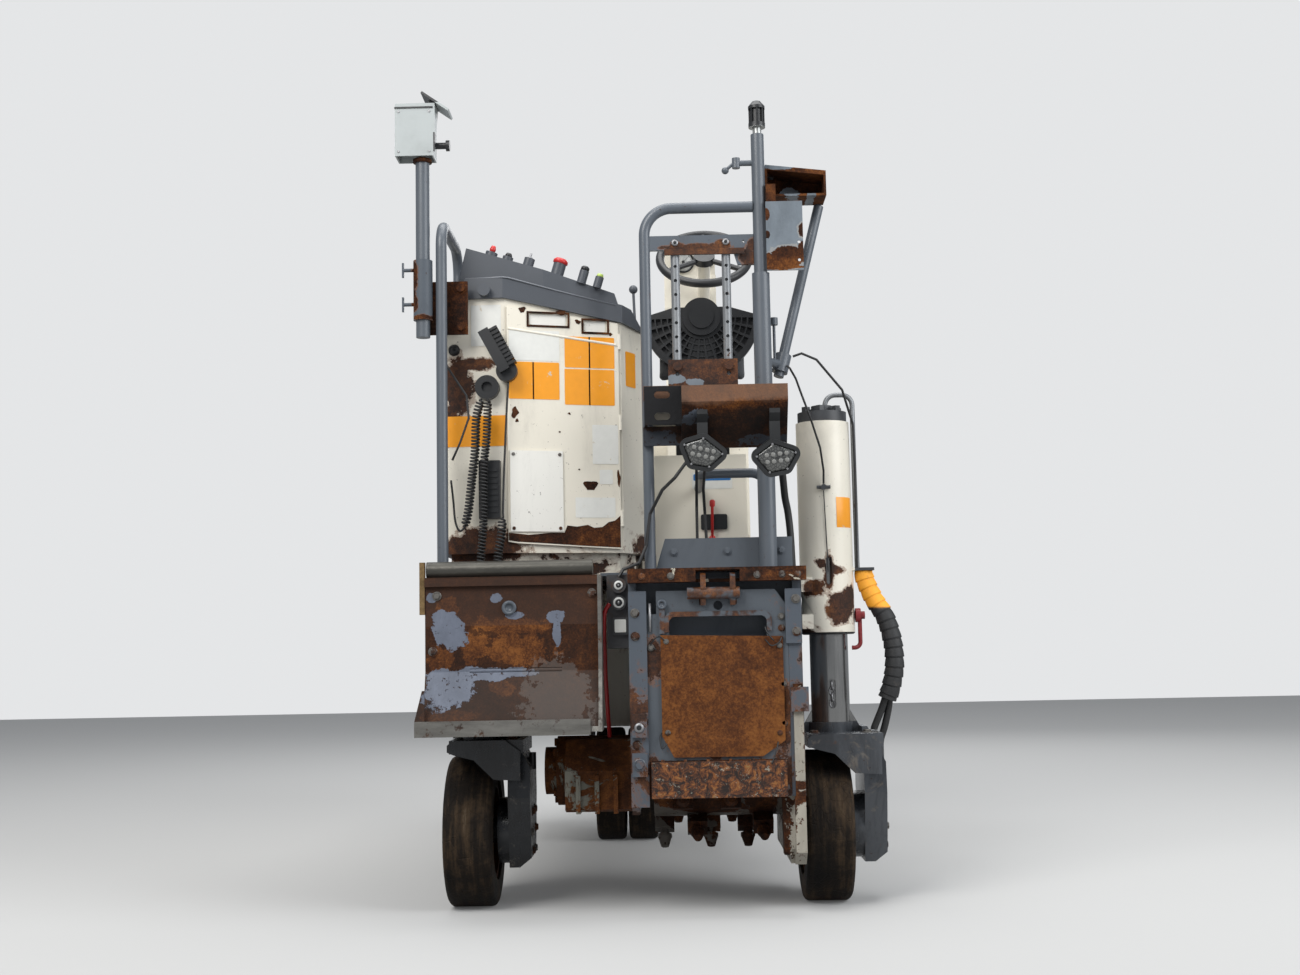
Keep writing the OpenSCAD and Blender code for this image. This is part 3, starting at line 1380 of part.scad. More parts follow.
lead_c = [[172, -1150, 1172], [168, -1090, 1120], [172, -1032, 1060], [178, -1026, 905.4]];
phone_lead = [[-358, -1042, 1432], [-364, -1044, 1340], [-372, -1046, 1180], [-376, -1050, 1060]];
phone_coil = [[-376, -1050, 1060], [-380, -1056, 1010], [-388, -1060, 960], [-390, -1060, 893]];
coil_a = [[-430, -1060, 1384], [-444, -1062, 1330], [-448, -1062, 1242], [-457, -1062, 1168],
  [-468, -1062, 1076], [-479, -1062, 1031]];
coil_a_end = [[-479, -1062, 1031], [-492, -1062, 1024], [-503, -1064, 1050],
  [-508, -1068, 1110], [-512, -1079, 1160]];
coil_b = [[-412, -1064, 1384], [-416, -1068, 1271], [-424, -1068, 1196], [-426, -1068, 1053],
  [-434, -1064, 956], [-436, -1060, 893]];
mast_route = [[-550, -1056, 1563], [-522, -1062, 1472], [-470, -1066, 1392],
  [-462, -1084, 1328], [-486, -1086, 1260], [-508, -1080, 1214]];
red_route = [[-87, -1121, 818], [-99, -1120, 800], [-103, -1114, 775], [-104, -1095, 725],
  [-104, -1060, 640], [-102, -1015, 545], [-100, -962, 472], [-100, -957, 461]];
pole_route = [[376, -1103, 1237.7], [377, -1102, 1215], [380, -1088, 1180], [386, -1050, 1140],
  [392, -1015, 1100], [400, -1000, 1060], [405, -1000, 1000], [408, -1000, 905.4]];

module leg_hose() {
  color(rubber) {
    cord(50, sleeve, 12);
    cord(20, hose_a);
    cord(20, hose_b);
  }
}
module column_cables() {
  color(dark) {
    cord(7, cable_a);
    cord(6, cable_b);
    cord(3, scale_wire);
  }
}
module lamp_leads() {
  color(dark) {
    cord(9, lead_a);
    cord(8, lead_b);
    cord(8, lead_c);
  }
}
module handset_cord() {
  color(dark) {
    cord(7, phone_lead);
    cord(26, phone_coil, 12);
  }
}
module socket_cords() {
  color(dark) {
    cord(26, coil_a, 12);
    cord(8, coil_a_end);
    cord(24, coil_b, 12);
  }
}
module mast_lead() { color(dark) cord(6, mast_route); }
module small_hoses() {
  color(red) cord(12, red_route);
  color(dark) cord(20, pole_route);
}

main_frame();
counterweight();
engine_block();
drum_housing();
drum_drive_housing();
left_wheel_housing();
left_column();
right_column();
column_lever();
column_pipe();
rear_beam();
platform_deck();
access_step();
valve_block();
cabinet();
cabinet_cover();
control_console();
handset();
keypad_box();
fuel_tank();
left_handrail();
mast_clamp();
guard_frame();
main_pole();
knee_rail();
beacon();
backrest_bars();
lamp_beam();
work_lamps();
tool_box();
diagonal_brace();
seat_pedestal();
seat_shell();
seat_cushion();
steering_console();
steering_wheel();
engine_hood();
front_fork();
front_tyres();
front_hubs();
left_leg();
left_tyre();
left_rim();
right_leg();
right_tyre();
right_rim();
milling_drum();
scraper_frame();
scraper_cover();
side_skid();
mast_tube();
mast_box();
leg_hose();
column_cables();
lamp_leads();
handset_cord();
socket_cords();
mast_lead();
small_hoses();
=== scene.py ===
"""Looks of a compact cold planer on solid rubber wheels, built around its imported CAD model."""

from functools import cached_property, partialmethod
import json
import math

import bmesh
import bpy
from mathutils import Matrix, Vector


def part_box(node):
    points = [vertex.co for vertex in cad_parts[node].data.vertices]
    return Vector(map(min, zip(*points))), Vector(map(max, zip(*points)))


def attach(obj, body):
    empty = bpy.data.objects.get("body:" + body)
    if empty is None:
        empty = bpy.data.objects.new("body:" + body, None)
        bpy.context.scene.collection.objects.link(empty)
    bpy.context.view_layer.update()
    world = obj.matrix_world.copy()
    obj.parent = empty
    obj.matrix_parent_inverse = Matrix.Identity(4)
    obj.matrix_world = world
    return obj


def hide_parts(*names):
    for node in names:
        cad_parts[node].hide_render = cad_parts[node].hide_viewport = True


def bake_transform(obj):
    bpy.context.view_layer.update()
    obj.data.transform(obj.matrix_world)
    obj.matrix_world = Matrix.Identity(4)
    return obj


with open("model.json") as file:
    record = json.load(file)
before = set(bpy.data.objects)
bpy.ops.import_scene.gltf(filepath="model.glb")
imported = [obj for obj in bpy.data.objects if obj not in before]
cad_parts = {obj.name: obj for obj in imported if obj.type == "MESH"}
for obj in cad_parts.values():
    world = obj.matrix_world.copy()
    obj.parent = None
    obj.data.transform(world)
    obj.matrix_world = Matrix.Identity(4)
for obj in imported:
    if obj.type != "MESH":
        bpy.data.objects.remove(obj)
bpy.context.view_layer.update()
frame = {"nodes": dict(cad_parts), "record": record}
scene = bpy.context.scene
scene.view_settings.view_transform = "Standard"
MM = 0.001
UP, REAR = Vector((0, 0, 1)), Vector((0, -1, 0))
BODY = {node: body for body, nodes in frame["record"]["behaviour"]["bodies"].items()
        for node in nodes}

# The camera's place in metres, its angles in degrees and its lens in millimetres
CAMERA = (0.073, -5.307, 0.694)
PITCH, YAW, ROLL = 5.88, 0.6535, 1.1
LENS = 43.7


def turned(degrees, axis):
    return Matrix.Rotation(math.radians(degrees), 4, axis)


def add_object(name, data):
    obj = bpy.data.objects.new(name, data)
    scene.collection.objects.link(obj)
    return obj


def add_camera():
    data = bpy.data.cameras.new("camera")
    data.lens, data.sensor_width = LENS, 36
    camera = add_object("camera", data)
    camera.matrix_world = (Matrix.Translation(CAMERA) @ turned(YAW, "Z")
                           @ turned(90 + PITCH, "X") @ turned(-ROLL, "Z"))
    scene.camera = camera


add_camera()


# Node helpers, and the materials made with them by their names
M = {}


class Value:
    """An output in a node tree; its operators and steps add the nodes that work them out."""

    def __init__(self, nodes, socket):
        self.nodes, self.socket = nodes, socket

    def work(self, kind, other):
        return self.nodes.math(kind, self, other)

    __add__ = partialmethod(work, "ADD")
    __sub__ = partialmethod(work, "SUBTRACT")
    __mul__ = partialmethod(work, "MULTIPLY")
    __or__ = partialmethod(work, "MAXIMUM")
    __gt__ = partialmethod(work, "GREATER_THAN")
    __lt__ = partialmethod(work, "LESS_THAN")

    def __rsub__(self, other):
        return self.nodes.math("SUBTRACT", other, self)

    def step(self, start, end):
        """A smooth rise from 0 at the start to 1 at the end."""
        return self.nodes.add("MapRange", 0, {"Value": self, "From Min": start, "From Max": end},
                              clamp=True, interpolation_type="SMOOTHSTEP")


class Nodes:
    """The node tree of a material or world, with short calls for the nodes used here."""

    def __init__(self, name, owner=None):
        self.name = name
        self.owner = owner or bpy.data.materials.new(name)
        self.owner.use_nodes = True
        self.tree = self.owner.node_tree
        self.tree.nodes.clear()

    def add(self, kind, output=0, inputs=(), **settings):
        """A new node with its settings and inputs; gives back one of its outputs."""
        node = self.tree.nodes.new("ShaderNode" + kind)
        for key, value in settings.items():
            setattr(node, key, value)
        for key, value in dict(inputs).items():
            socket = node.inputs[key]
            if isinstance(value, Value):
                self.tree.links.new(value.socket, socket)
            else:
                socket.default_value = (*value, 1.0) if socket.type == "RGBA" else value
        return Value(self, node.outputs[output]) if node.outputs else None

    @cached_property
    def coord(self):
        return self.add("TexCoord", "Object")

    @cached_property
    def xyz(self):
        """The place along X, Y and Z."""
        node = self.add("SeparateXYZ", 0, {0: self.coord}).socket.node
        return [Value(self, socket) for socket in node.outputs]

    def noise(self, scale, detail=4.0, rough=0.55, warp=0.0, stretch=None):
        place = self.coord
        if stretch:
            place = self.add("Mapping", 0, {"Vector": place, "Scale": stretch})
        return self.add("TexNoise", "Fac", {"Vector": place, "Scale": scale, "Detail": detail,
                                            "Roughness": rough, "Distortion": warp})

    def cells(self, scale, feature="F1"):
        return self.add("TexVoronoi", "Distance", {"Vector": self.coord, "Scale": scale},
                        feature=feature)

    def math(self, kind, a, b):
        return self.add("Math", 0, {0: a, 1: b}, operation=kind)

    def ramp(self, value, stops):
        """Colour steps: stops are (position, colour)."""
        tone = self.add("ValToRGB", "Color", {"Fac": value})
        band = tone.socket.node.color_ramp
        while len(band.elements) < len(stops):
            band.elements.new(1.0)
        for element, (place, color) in zip(band.elements, stops):
            element.position = place
            element.color = (*color, 1.0)
        return tone

    def near(self, spots, reach=1.0, ragged=0.55):
        """Mask of ragged ovals, seen along Y: spots are (x, z, half width, half height)."""
        closest = None
        for x, z, wide, high in spots:
            place = self.add("Mapping", 0, {"Vector": self.coord, "Scale": (1 / wide, 0, 1 / high),
                                            "Location": (-x / wide, 0, -z / high)})
            gap = self.add("VectorMath", "Value", {0: place}, operation="LENGTH")
            closest = self.math("MINIMUM", closest, gap) if closest else gap
        if closest is None:
            return 0.0
        edge = (self.noise(19.0, 9.0, 0.7) - 0.5) * (ragged * 5)
        return (closest + edge).step(reach + 0.03, reach - 0.03)

    def mix(self, share, a, b, kind="RGBA"):
        return self.add("Mix", "Result", {"Factor": share, "A": a, "B": b}, data_type=kind)

    def blend(self, share, a, b):
        return self.mix(share, a, b, "FLOAT")

    def layers(self, tone, *coats):
        """A colour under coats, each a mask and a colour."""
        for mask, color in coats:
            tone = self.mix(mask, tone, color)
        return tone

    def surface(self, color, rough, height, strength, distance, metal=0, coat=0, **fixed):
        """The finished material, its bumps of a strength and a distance in metres."""
        normal = self.add("Bump", "Normal", {"Height": height, "Strength": strength,
                                             "Distance": distance})
        shader = self.add("BsdfPrincipled", 0, {
            "Base Color": color, "Roughness": rough, "Metallic": metal, "Coat Weight": coat,
            "Normal": normal, **fixed})
        self.add("OutputMaterial", 0, {"Surface": shader})
        M[self.name] = self.owner


# Colours
CREAM = (0.78, 0.735, 0.63)
PAINT_GREY = (0.092, 0.106, 0.124)
IRON = (0.030, 0.030, 0.032)
RUST_DARK = (0.010, 0.0045, 0.0027)
RUST_MID = (0.038, 0.0130, 0.0056)
RUST_WARM = (0.090, 0.030, 0.0088)
RUST_LIGHT = (0.185, 0.066, 0.016)
GOLD = (0.25, 0.100, 0.025)
RUST_STEPS = ((0.415, RUST_DARK), (0.49, RUST_MID), (0.555, RUST_WARM), (0.625, RUST_LIGHT),
              (0.71, GOLD))
MUD = (0.075, 0.052, 0.034)
BARE = (0.30, 0.29, 0.265)
DULL = {"Specular IOR Level": 0.16}
# How much lighter and warmer the rust is at painted highlight spots
PAINTED_HIGHLIGHT = 0.045


def shade(color, factor):
    return tuple(c * factor for c in color)


# Materials
def rust_color(n, scale=6, glow=0, lift=0):
    """Mottled rust: dark scale, brown and orange bloom; glow and lift warm it."""
    field = n.noise(scale, 5, 0.6, 0.7) * 0.38 + n.noise(scale * 6.5, 6, 0.78) * 0.34
    field = field + n.noise(scale * 34, 4, 0.85) * 0.36 + (glow - 0.04)
    tone = n.ramp(field, RUST_STEPS)
    return n.mix(lift, tone, RUST_WARM) if lift else tone


def rust_height(n):
    return n.noise(60, 8, 0.72) + n.cells(96) * 0.4


def flakes(n, color):
    """Old paint that is left on rust: streaked and rubbed."""
    rub = n.noise(16, 6, 0.65, 0.3, (1, 1, 0.5))
    return n.mix(rub, shade(color, 0.62), shade(color, 1.75))


def rusty(name, scale=6, glow=0, paint=None, cover=0, spots=(), lift=0):
    """Rusted plate with flakes of old paint: at the spots, and by chance for the share cover."""
    n = Nodes(name)
    color, height = rust_color(n, scale, glow, lift), rust_height(n)
    rough = n.blend(n.noise(5), 0.55, 0.92)
    if paint:
        start = 0.66 - cover * 0.26
        mask = n.noise(4.2, 9, 0.66, 0.7).step(start, start + 0.015) | n.near(spots)
        mask = mask * n.noise(62, 5, 0.7).step(0.36, 0.41)
        color = n.mix(mask, color, flakes(n, paint))
        height = height * 0.45 + mask * 1.2
        rough = n.blend(mask, rough, 0.42)
    n.surface(color, rough, height, 0.55, 0.0016, **DULL)


def paint_over_rust(n, color, chips, rough=0.38, dirt=0.5, chip_scale=4, spots=(), low=None,
                    high=None):
    """Colour, roughness and height of gloss paint that is chipped to rust: at the spots, by
    chance for the share chips, and more so down from the height high to the height low."""
    grime = n.noise(7, 8, 0.7, 0.4, (1, 1, 0.35)).step(0.50, 0.76)
    specks = n.noise(85, 4, 0.75).step(0.655, 0.69)
    field = n.noise(chip_scale, 10, 0.68, 0.5) * 0.8 + n.noise(chip_scale * 7, 6, 0.7) * 0.2
    if low is not None:
        field = field + n.add("MapRange", 0, {"Value": n.xyz[2], "From Min": low, "From Max": high,
                                              "To Min": 0.17, "To Max": 0}, clamp=True)
    limit = 0.74 - chips * 0.16
    mask = field.step(limit, limit + 0.012) | n.near(spots)
    stain = field.step(limit - 0.045, limit + 0.02) | n.near(spots, 1.18)
    tone = n.layers(shade(color, 0.88), (n.noise(2.3), color), (grime * dirt, shade(color, 0.42)),
                    (specks * min(1, dirt * 1.6), RUST_MID),
                    (((stain - mask) | 0) * 0.55, RUST_LIGHT), (mask, rust_color(n, 9)))
    height = 1 - mask + n.noise(240, 3) * 0.16
    return tone, n.blend(mask, n.blend(grime, rough, rough + 0.25), 0.88), height


def painted(name, *wear, **more):
    n = Nodes(name)
    n.surface(*paint_over_rust(n, *wear, **more), 0.35, 0.0008, 0, 0.08)


def greasy(name, color=IRON, mud=0.4, shine=0.35):
    """Dark oily steel with dried dirt."""
    n = Nodes(name)
    dirt = n.noise(6, 8, 0.68, 0.5).step(0.62 - mud * 0.25, 0.74 - mud * 0.2)
    tone = n.layers(color, (n.noise(18, 5), shade(color, 2.3)),
                    (dirt, n.mix(n.noise(30), MUD, RUST_WARM)))
    n.surface(tone, n.blend(dirt, n.blend(n.noise(10), shine, shine + 0.3), 0.92),
              n.noise(70, 7, 0.7), 0.45, 0.0012, 0.25)


def rubber_wheel(name):
    """Worn solid rubber: dark, ground smooth along its turn, brown with dust at the edges."""
    n = Nodes(name)
    wear = n.noise(7, 8, 0.7, 0.5)
    grind = n.noise(60, 5, 0.65, 0, (1, 0.10, 0.10))
    cracks = n.cells(34, "DISTANCE_TO_EDGE").step(0, 0.05)
    tone = n.ramp(wear * 0.6 + grind * 0.4, (
        (0.40, (0.0035, 0.0027, 0.0022)), (0.50, (0.013, 0.0088, 0.0058)),
        (0.60, (0.050, 0.032, 0.018)), (0.68, (0.110, 0.080, 0.052))))
    n.surface(tone, n.blend(wear, 0.55, 0.85), n.noise(30, 8, 0.75) + grind * 0.6 + cracks * 0.35,
              0.8, 0.004, **DULL)


def steel(name, tone=(0.36, 0.36, 0.37), rough=0.32, rust=0):
    n = Nodes(name)
    color = n.mix(n.noise(55, 5, 0.6, 0, (1, 1, 0.08)), shade(tone, 0.6), tone)
    finish, metal = n.blend(n.noise(16), rough, rough + 0.28), 0.9
    if rust:
        mask = n.noise(11, 9, 0.7, 0.5).step(0.66 - rust * 0.3, 0.72 - rust * 0.3)
        color = n.mix(mask, color, rust_color(n, 9))
        finish, metal = n.blend(mask, finish, 0.9), n.blend(mask, metal, 0)
    n.surface(color, finish, n.noise(120, 5), 0.25, 0.0006, metal)


def plastic(name, color, rough=0.45, grain=420, dust=0.3):
    n = Nodes(name)
    veil = n.noise(5, 7, 0.65).step(0.45, 0.8)
    n.surface(n.mix(veil * dust, color, tuple(min(1, c * 1.6 + 0.03) for c in color)),
              n.blend(veil, rough, rough + 0.25), n.noise(grain, 2), 0.18, 0.0004)


def label(name, color, wear=0.35):
    """Printed foil with no print on it: scuffed, its corners rubbed to the paint below."""
    n = Nodes(name)
    scuff = n.noise(26, 9, 0.72, 0.4).step(0.68 - wear * 0.12, 0.72 - wear * 0.1)
    tone = n.layers(color, (n.noise(60, 3), shade(color, 0.88)), (scuff, (0.55, 0.48, 0.37)))
    n.surface(tone, n.blend(scuff, 0.34, 0.6), scuff, 0.2, 0.0003)


def fabric(name, color):
    n = Nodes(name)
    u, v = [n.add("TexWave", "Fac", {"Vector": n.coord, "Scale": 260, "Distortion": 0.6},
                  wave_type="BANDS", bands_direction=way) for way in "XY"]
    weave = u * v
    tone = n.layers(shade(color, 0.6), (weave, color),
                    (n.noise(6, 6).step(0.5, 0.8), shade(color, 1.9)))
    n.surface(tone, 0.9, weave, 0.4, 0.0006, **{"Sheen Weight": 0.25})


def lens_glass(name):
    """Ribbed lamp glass, dark between its bright facets."""
    n = Nodes(name)
    cell = n.cells(120, "DISTANCE_TO_EDGE")
    tone = n.mix(cell.step(0, 0.16), (0.030, 0.031, 0.032), (0.115, 0.117, 0.112))
    n.surface(tone, 0.16, cell, 0.8, 0.002, 0.45, 0.6)


def banded(name, base, accent, low, high):
    """Sleeve of two colours: the accent lies between two heights."""
    n = Nodes(name)
    height = n.xyz[2] + n.noise(20) * 0.01
    inside = (height.step(low - 0.004, low + 0.004)
              * (1 - height.step(high - 0.004, high + 0.004)))
    scuff = n.noise(40, 6, 0.7).step(0.55, 0.75) * 0.45
    tone = n.layers(base, (inside, accent), (scuff, (0.09, 0.07, 0.055)))
    n.surface(tone, 0.62, n.noise(90), 0.3, 0.001)


def tread_plate(name):
    n = Nodes(name)
    n.surface(n.mix(n.noise(8, 6), (0.05, 0.052, 0.055), (0.14, 0.10, 0.075)), 0.7,
              n.cells(30).step(0.25, 0.2), 0.6, 0.002, 0.2)


# Materials that change with the place on one CAD piece
def wheel_housing(name):
    """Brown housing with patches of paint, a bare roller, lip and flange, a crusted bracket."""
    n = Nodes(name)
    x, y, z = n.xyz
    # Painted highlights: at these spots the rust is lighter and warmer, and the dark layer over it is
    # thinner
    glow = n.near(((-0.36, 0.705, 0.10, 0.035), (-0.50, 0.815, 0.03, 0.02),
                   (-0.34, 0.765, 0.08, 0.02), (-0.50, 0.535, 0.05, 0.012),
                   (-0.36, 0.605, 0.025, 0.018), (-0.52, 0.68, 0.03, 0.03)), 1.2, 0.9)
    paint = n.near(((-0.502, 0.752, 0.040, 0.050), (-0.515, 0.790, 0.034, 0.018),
                    (-0.225, 0.785, 0.022, 0.016), (-0.222, 0.745, 0.011, 0.034),
                    (-0.505, 0.600, 0.062, 0.046), (-0.42, 0.642, 0.12, 0.018),
                    (-0.33, 0.790, 0.026, 0.010), (-0.38, 0.835, 0.018, 0.012),
                    (-0.548, 0.84, 0.014, 0.014)), 1, 0.45)
    paint = paint * n.noise(70, 5, 0.7).step(0.34, 0.40)
    # Painted sheen: a pale grey-brown highlight patch on the wall
    sheen = n.near(((-0.22, 0.57, 0.07, 0.07),), 1.3, 0.9) * 0.40
    lip, flange = (z < 0.4915) | ((z < 0.5235) * (y < -1.2495)), x > -0.1155
    edges = (lip | flange) * n.noise(30, 7, 0.7).step(0.36, 0.46)
    roller = (z > 0.8925) * (y < -1.14) * (x > -0.5635)
    bare = n.mix(n.noise(40, 6, 0.7, 0, (0.2, 1, 1)), (0.045, 0.043, 0.040), BARE)
    rolled = n.mix(n.noise(26, 7, 0.7, 0, (0.3, 1, 1)), (0.022, 0.021, 0.019), (0.13, 0.125, 0.11))
    crust = n.mix(n.noise(95, 5, 0.8), RUST_DARK, (0.30, 0.20, 0.09))
    color = n.layers(
        rust_color(n, 5, glow * PAINTED_HIGHLIGHT), (0.52 - glow * 0.42, (0.016, 0.0075, 0.0045)),
        ((z < 0.645) * 0.5, (0.050, 0.036, 0.030)), ((z > 0.765) * 0.35, (0.075, 0.042, 0.030)),
        (paint, flakes(n, (0.105, 0.118, 0.150))), (sheen, (0.13, 0.115, 0.105)), (edges, bare),
        (roller, rolled), ((x < -0.5655) * (z > 0.79), crust))
    edges = edges | roller
    n.surface(color, n.blend(edges, n.blend(paint, 0.72, 0.42), 0.38),
              rust_height(n) * 0.6 + paint * 0.9, 0.6, 0.0018, edges * 0.6, **DULL)


def column_paint(name, axis_x, spots=()):
    """Cream column with a black cap, bare brown steel at its foot and dark fittings."""
    n = Nodes(name)
    x, y, z = n.xyz
    tone, finish, height = paint_over_rust(n, CREAM, 0.24, 0.3, 0.32, 5, spots, 0.70, 0.86)
    dark = (z > 1.3252) | (y < -0.9262) | (n.math("ABSOLUTE", x - axis_x, 0) > 0.0768)
    black = n.mix(n.noise(14, 6), (0.018, 0.019, 0.021), (0.062, 0.066, 0.073))
    n.surface(n.mix(dark, tone, black), n.blend(dark, finish, 0.45), height, 0.35, 0.0008)


def scraper_paint(name):
    """Slate plate, worn at its edges, with a crusted cutting bar and a rusty head."""
    n = Nodes(name)
    _, y, z = n.xyz
    tone, finish, height = paint_over_rust(
        n, (0.075, 0.088, 0.104), 0.66, 0.46, 0.5, 9,
        ((0.03, 0.66, 0.03, 0.05), (0.355, 0.52, 0.03, 0.09)), 0.36, 0.62)
    behind = y < -1.1705
    bar = (z < 0.4125) * behind
    clods = n.noise(42, 7, 0.8, 0.8)
    crust = n.ramp(clods, ((0.42, RUST_DARK), (0.48, RUST_MID), (0.54, (0.13, 0.040, 0.010)),
                           (0.60, (0.26, 0.090, 0.018)), (0.66, (0.20, 0.14, 0.05))))
    crust = n.layers(crust, (n.noise(75, 6, 0.85).step(0.60, 0.64), (0.34, 0.33, 0.27)),
                     (n.noise(48, 6, 0.8).step(0.57, 0.62), RUST_DARK))
    head, rim = (z > 0.806) * (y < -1.1715), (z > 0.70) * behind * (z < 0.806)
    old = (head | rim) * n.noise(20, 7).step(0.40, 0.5)
    n.surface(n.layers(tone, (bar, crust), (old, rust_color(n, 11, 0.02))),
              n.blend(bar, finish, 0.8), height + clods * bar * 3, 0.6, 0.002)


def leg_paint(name, tone, oiled):
    """Polished tube above a painted foot with chipped edges, oil and dried dirt."""
    n = Nodes(name)
    foot, finish, height = paint_over_rust(n, tone, 0.60, 0.24, 0.9, 11)
    oil = n.noise(5, 8, 0.72, 0.8, (1, 1, 0.5)).step(0.44, 0.58)
    mud = n.noise(13, 9, 0.78, 0.6).step(0.55, 0.66)
    tube = n.xyz[2] > 0.4865
    stained = n.noise(8, 7, 0.7, 0.4, (1, 1, 0.3)).step(0.55, 0.72)
    # Vertical pale streaks on the polished tube: painted reflections
    bright = n.layers((0.13, 0.13, 0.13), (n.noise(70, 5, 0.6, 0, (1, 1, 0.05)), (0.46, 0.455, 0.44)),
                      (stained * 0.6, RUST_MID))
    color = n.layers(foot, (oil * oiled, (0.005, 0.005, 0.006)),
                     (mud * 0.75, n.mix(n.noise(60, 4, 0.8), MUD, (0.17, 0.16, 0.145))),
                     (tube, bright))
    n.surface(color, n.blend(tube, finish, n.blend(stained, 0.20, 0.55)), height, 0.3, 0.0008,
              tube * 0.92)


def mast_head(name):
    """Pale box with a black hood and knob."""
    n = Nodes(name)
    x, _, z = n.xyz
    dark = (z > 2.1922) | ((x > -0.5472) * (z < 2.11))
    tone = n.layers((0.38, 0.41, 0.41), (n.noise(9, 7, 0.65).step(0.45, 0.8) * 0.5,
                                         (0.26, 0.28, 0.275)), (dark, (0.017, 0.018, 0.020)))
    n.surface(tone, n.blend(dark, 0.5, 0.4), n.noise(300, 2), 0.15, 0.0004)


def beacon_finish(name):
    """Plain metal foot with a black head above it."""
    n = Nodes(name)
    head = n.xyz[2] > 2.1193
    foot, black = [n.mix(n.noise(15, 6), shade(color, 0.55), color)
                   for color in ((0.42, 0.43, 0.42), (0.014, 0.015, 0.017))]
    n.surface(n.mix(head, foot, black), n.blend(head, 0.35, 0.42), n.noise(200, 3), 0.2, 0.0005,
              n.blend(head, 0.7, 0))


def beam_rust(name):
    """Rusty folded beam, painted light and shade at its fold, a black hook plate at its left end."""
    n = Nodes(name)
    x, y, z = n.xyz
    hook = (x < 0.1136) * (y < -1.1405) * n.noise(22, 8, 0.7).step(0.34, 0.40)
    paint = n.near(((0.05, 1.25, 0.05, 0.03), (0.33, 1.245, 0.09, 0.012),
                    (0.15, 1.30, 0.03, 0.02)), 1, 0.7) * n.noise(60, 5, 0.7).step(0.38, 0.44)
    height, fold = z + n.noise(7, 6, 0.65) * 0.08, 1.372
    color = n.layers(
        # Painted highlight: lighter, warmer rust in a band just under the fold
        rust_color(n, 5.5, n.near(((0.27, 1.36, 0.14, 0.03),), 1.3, 0.6) * PAINTED_HIGHLIGHT),
        (paint, flakes(n, (0.085, 0.10, 0.125))),
        # Painted highlight above the fold, and painted shade below it
        (height.step(fold, fold + 0.018) * 0.55, (0.20, 0.118, 0.080)),
        (height.step(fold, fold - 0.022) * 0.72, (0.008, 0.007, 0.0065)),
        (hook, (0.014, 0.014, 0.015)))
    n.surface(color, n.blend(hook, 0.78, 0.4), rust_height(n), 0.5, 0.0015, **DULL)


def tool_paint(name):
    """Grey plate rusted at its foot and rims, below a rusty box with one painted patch."""
    n = Nodes(name)
    _, y, z = n.xyz
    flap = (z < 1.9035) * (y < -1.0995)
    bites = ((0.410, 1.745, 0.050, 0.032), (0.455, 1.822, 0.018, 0.020))
    bite = n.near(bites + ((0.357, 1.868, 0.009, 0.017), (0.357, 1.812, 0.008, 0.012),
                           (0.360, 1.742, 0.014, 0.018), (0.452, 1.762, 0.014, 0.030),
                           (0.36, 1.720, 0.12, 0.006)), 1, 0.35)
    kept = n.near(((0.432, 1.955, 0.028, 0.026), (0.485, 1.935, 0.012, 0.010),
                   (0.400, 2.019, 0.060, 0.010)), 1, 0.4)
    paint = n.blend(flap, kept, 1 - bite)
    # The glow of 0.02 lightens this rust: painted light, as the box's inside stands in shade
    color = n.layers(rust_color(n, 8, 0.02), (paint, flakes(n, (0.125, 0.145, 0.165))),
                     (n.near(bites, 1.2, 0.35) * flap * paint * 0.5, (0.34, 0.32, 0.29)))
    n.surface(color, n.blend(paint, 0.85, 0.42), rust_height(n) * 0.5 + paint * 1.1, 0.55, 0.0015,
              **DULL)


def bar_finish(name):
    """Pale drilled tubes between rusty plates."""
    n = Nodes(name)
    plates = n.xyz[1] < -1.0921
    kept = n.near(((0.100, 1.418, 0.026, 0.012), (0.150, 1.411, 0.024, 0.010)), 1, 0.5)
    rust = n.mix(kept, rust_color(n, 9, 0.01), flakes(n, (0.13, 0.15, 0.17)))
    color = n.layers((0.13, 0.14, 0.15), (n.noise(40, 5, 0.6, 0, (1, 1, 0.12)), (0.27, 0.28, 0.29)),
                     (n.noise(24, 8, 0.72).step(0.62, 0.66), rust_color(n, 12)), (plates, rust))
    n.surface(color, n.blend(plates, 0.42, 0.85), rust_height(n), 0.3, 0.001,
              n.blend(plates, 0.35, 0))


def clamp_finish(name):
    """Grey sleeve with a rusty flank, bolted to a rusty plate."""
    n = Nodes(name)
    x, y, _ = n.xyz
    sleeve = (x < -0.5545) * (y < -1.0705)
    tone, finish, height = paint_over_rust(n, PAINT_GREY, 0.5, 0.4, 0.5, 9, (
        (-0.604, 1.715, 0.010, 0.045), (-0.603, 1.64, 0.008, 0.020), (-0.575, 1.60, 0.03, 0.007)))
    n.surface(n.mix(sleeve, rust_color(n, 8, -0.012), tone), n.blend(sleeve, 0.85, finish),
              n.blend(sleeve, rust_height(n), height), 0.5, 0.0012, **DULL)


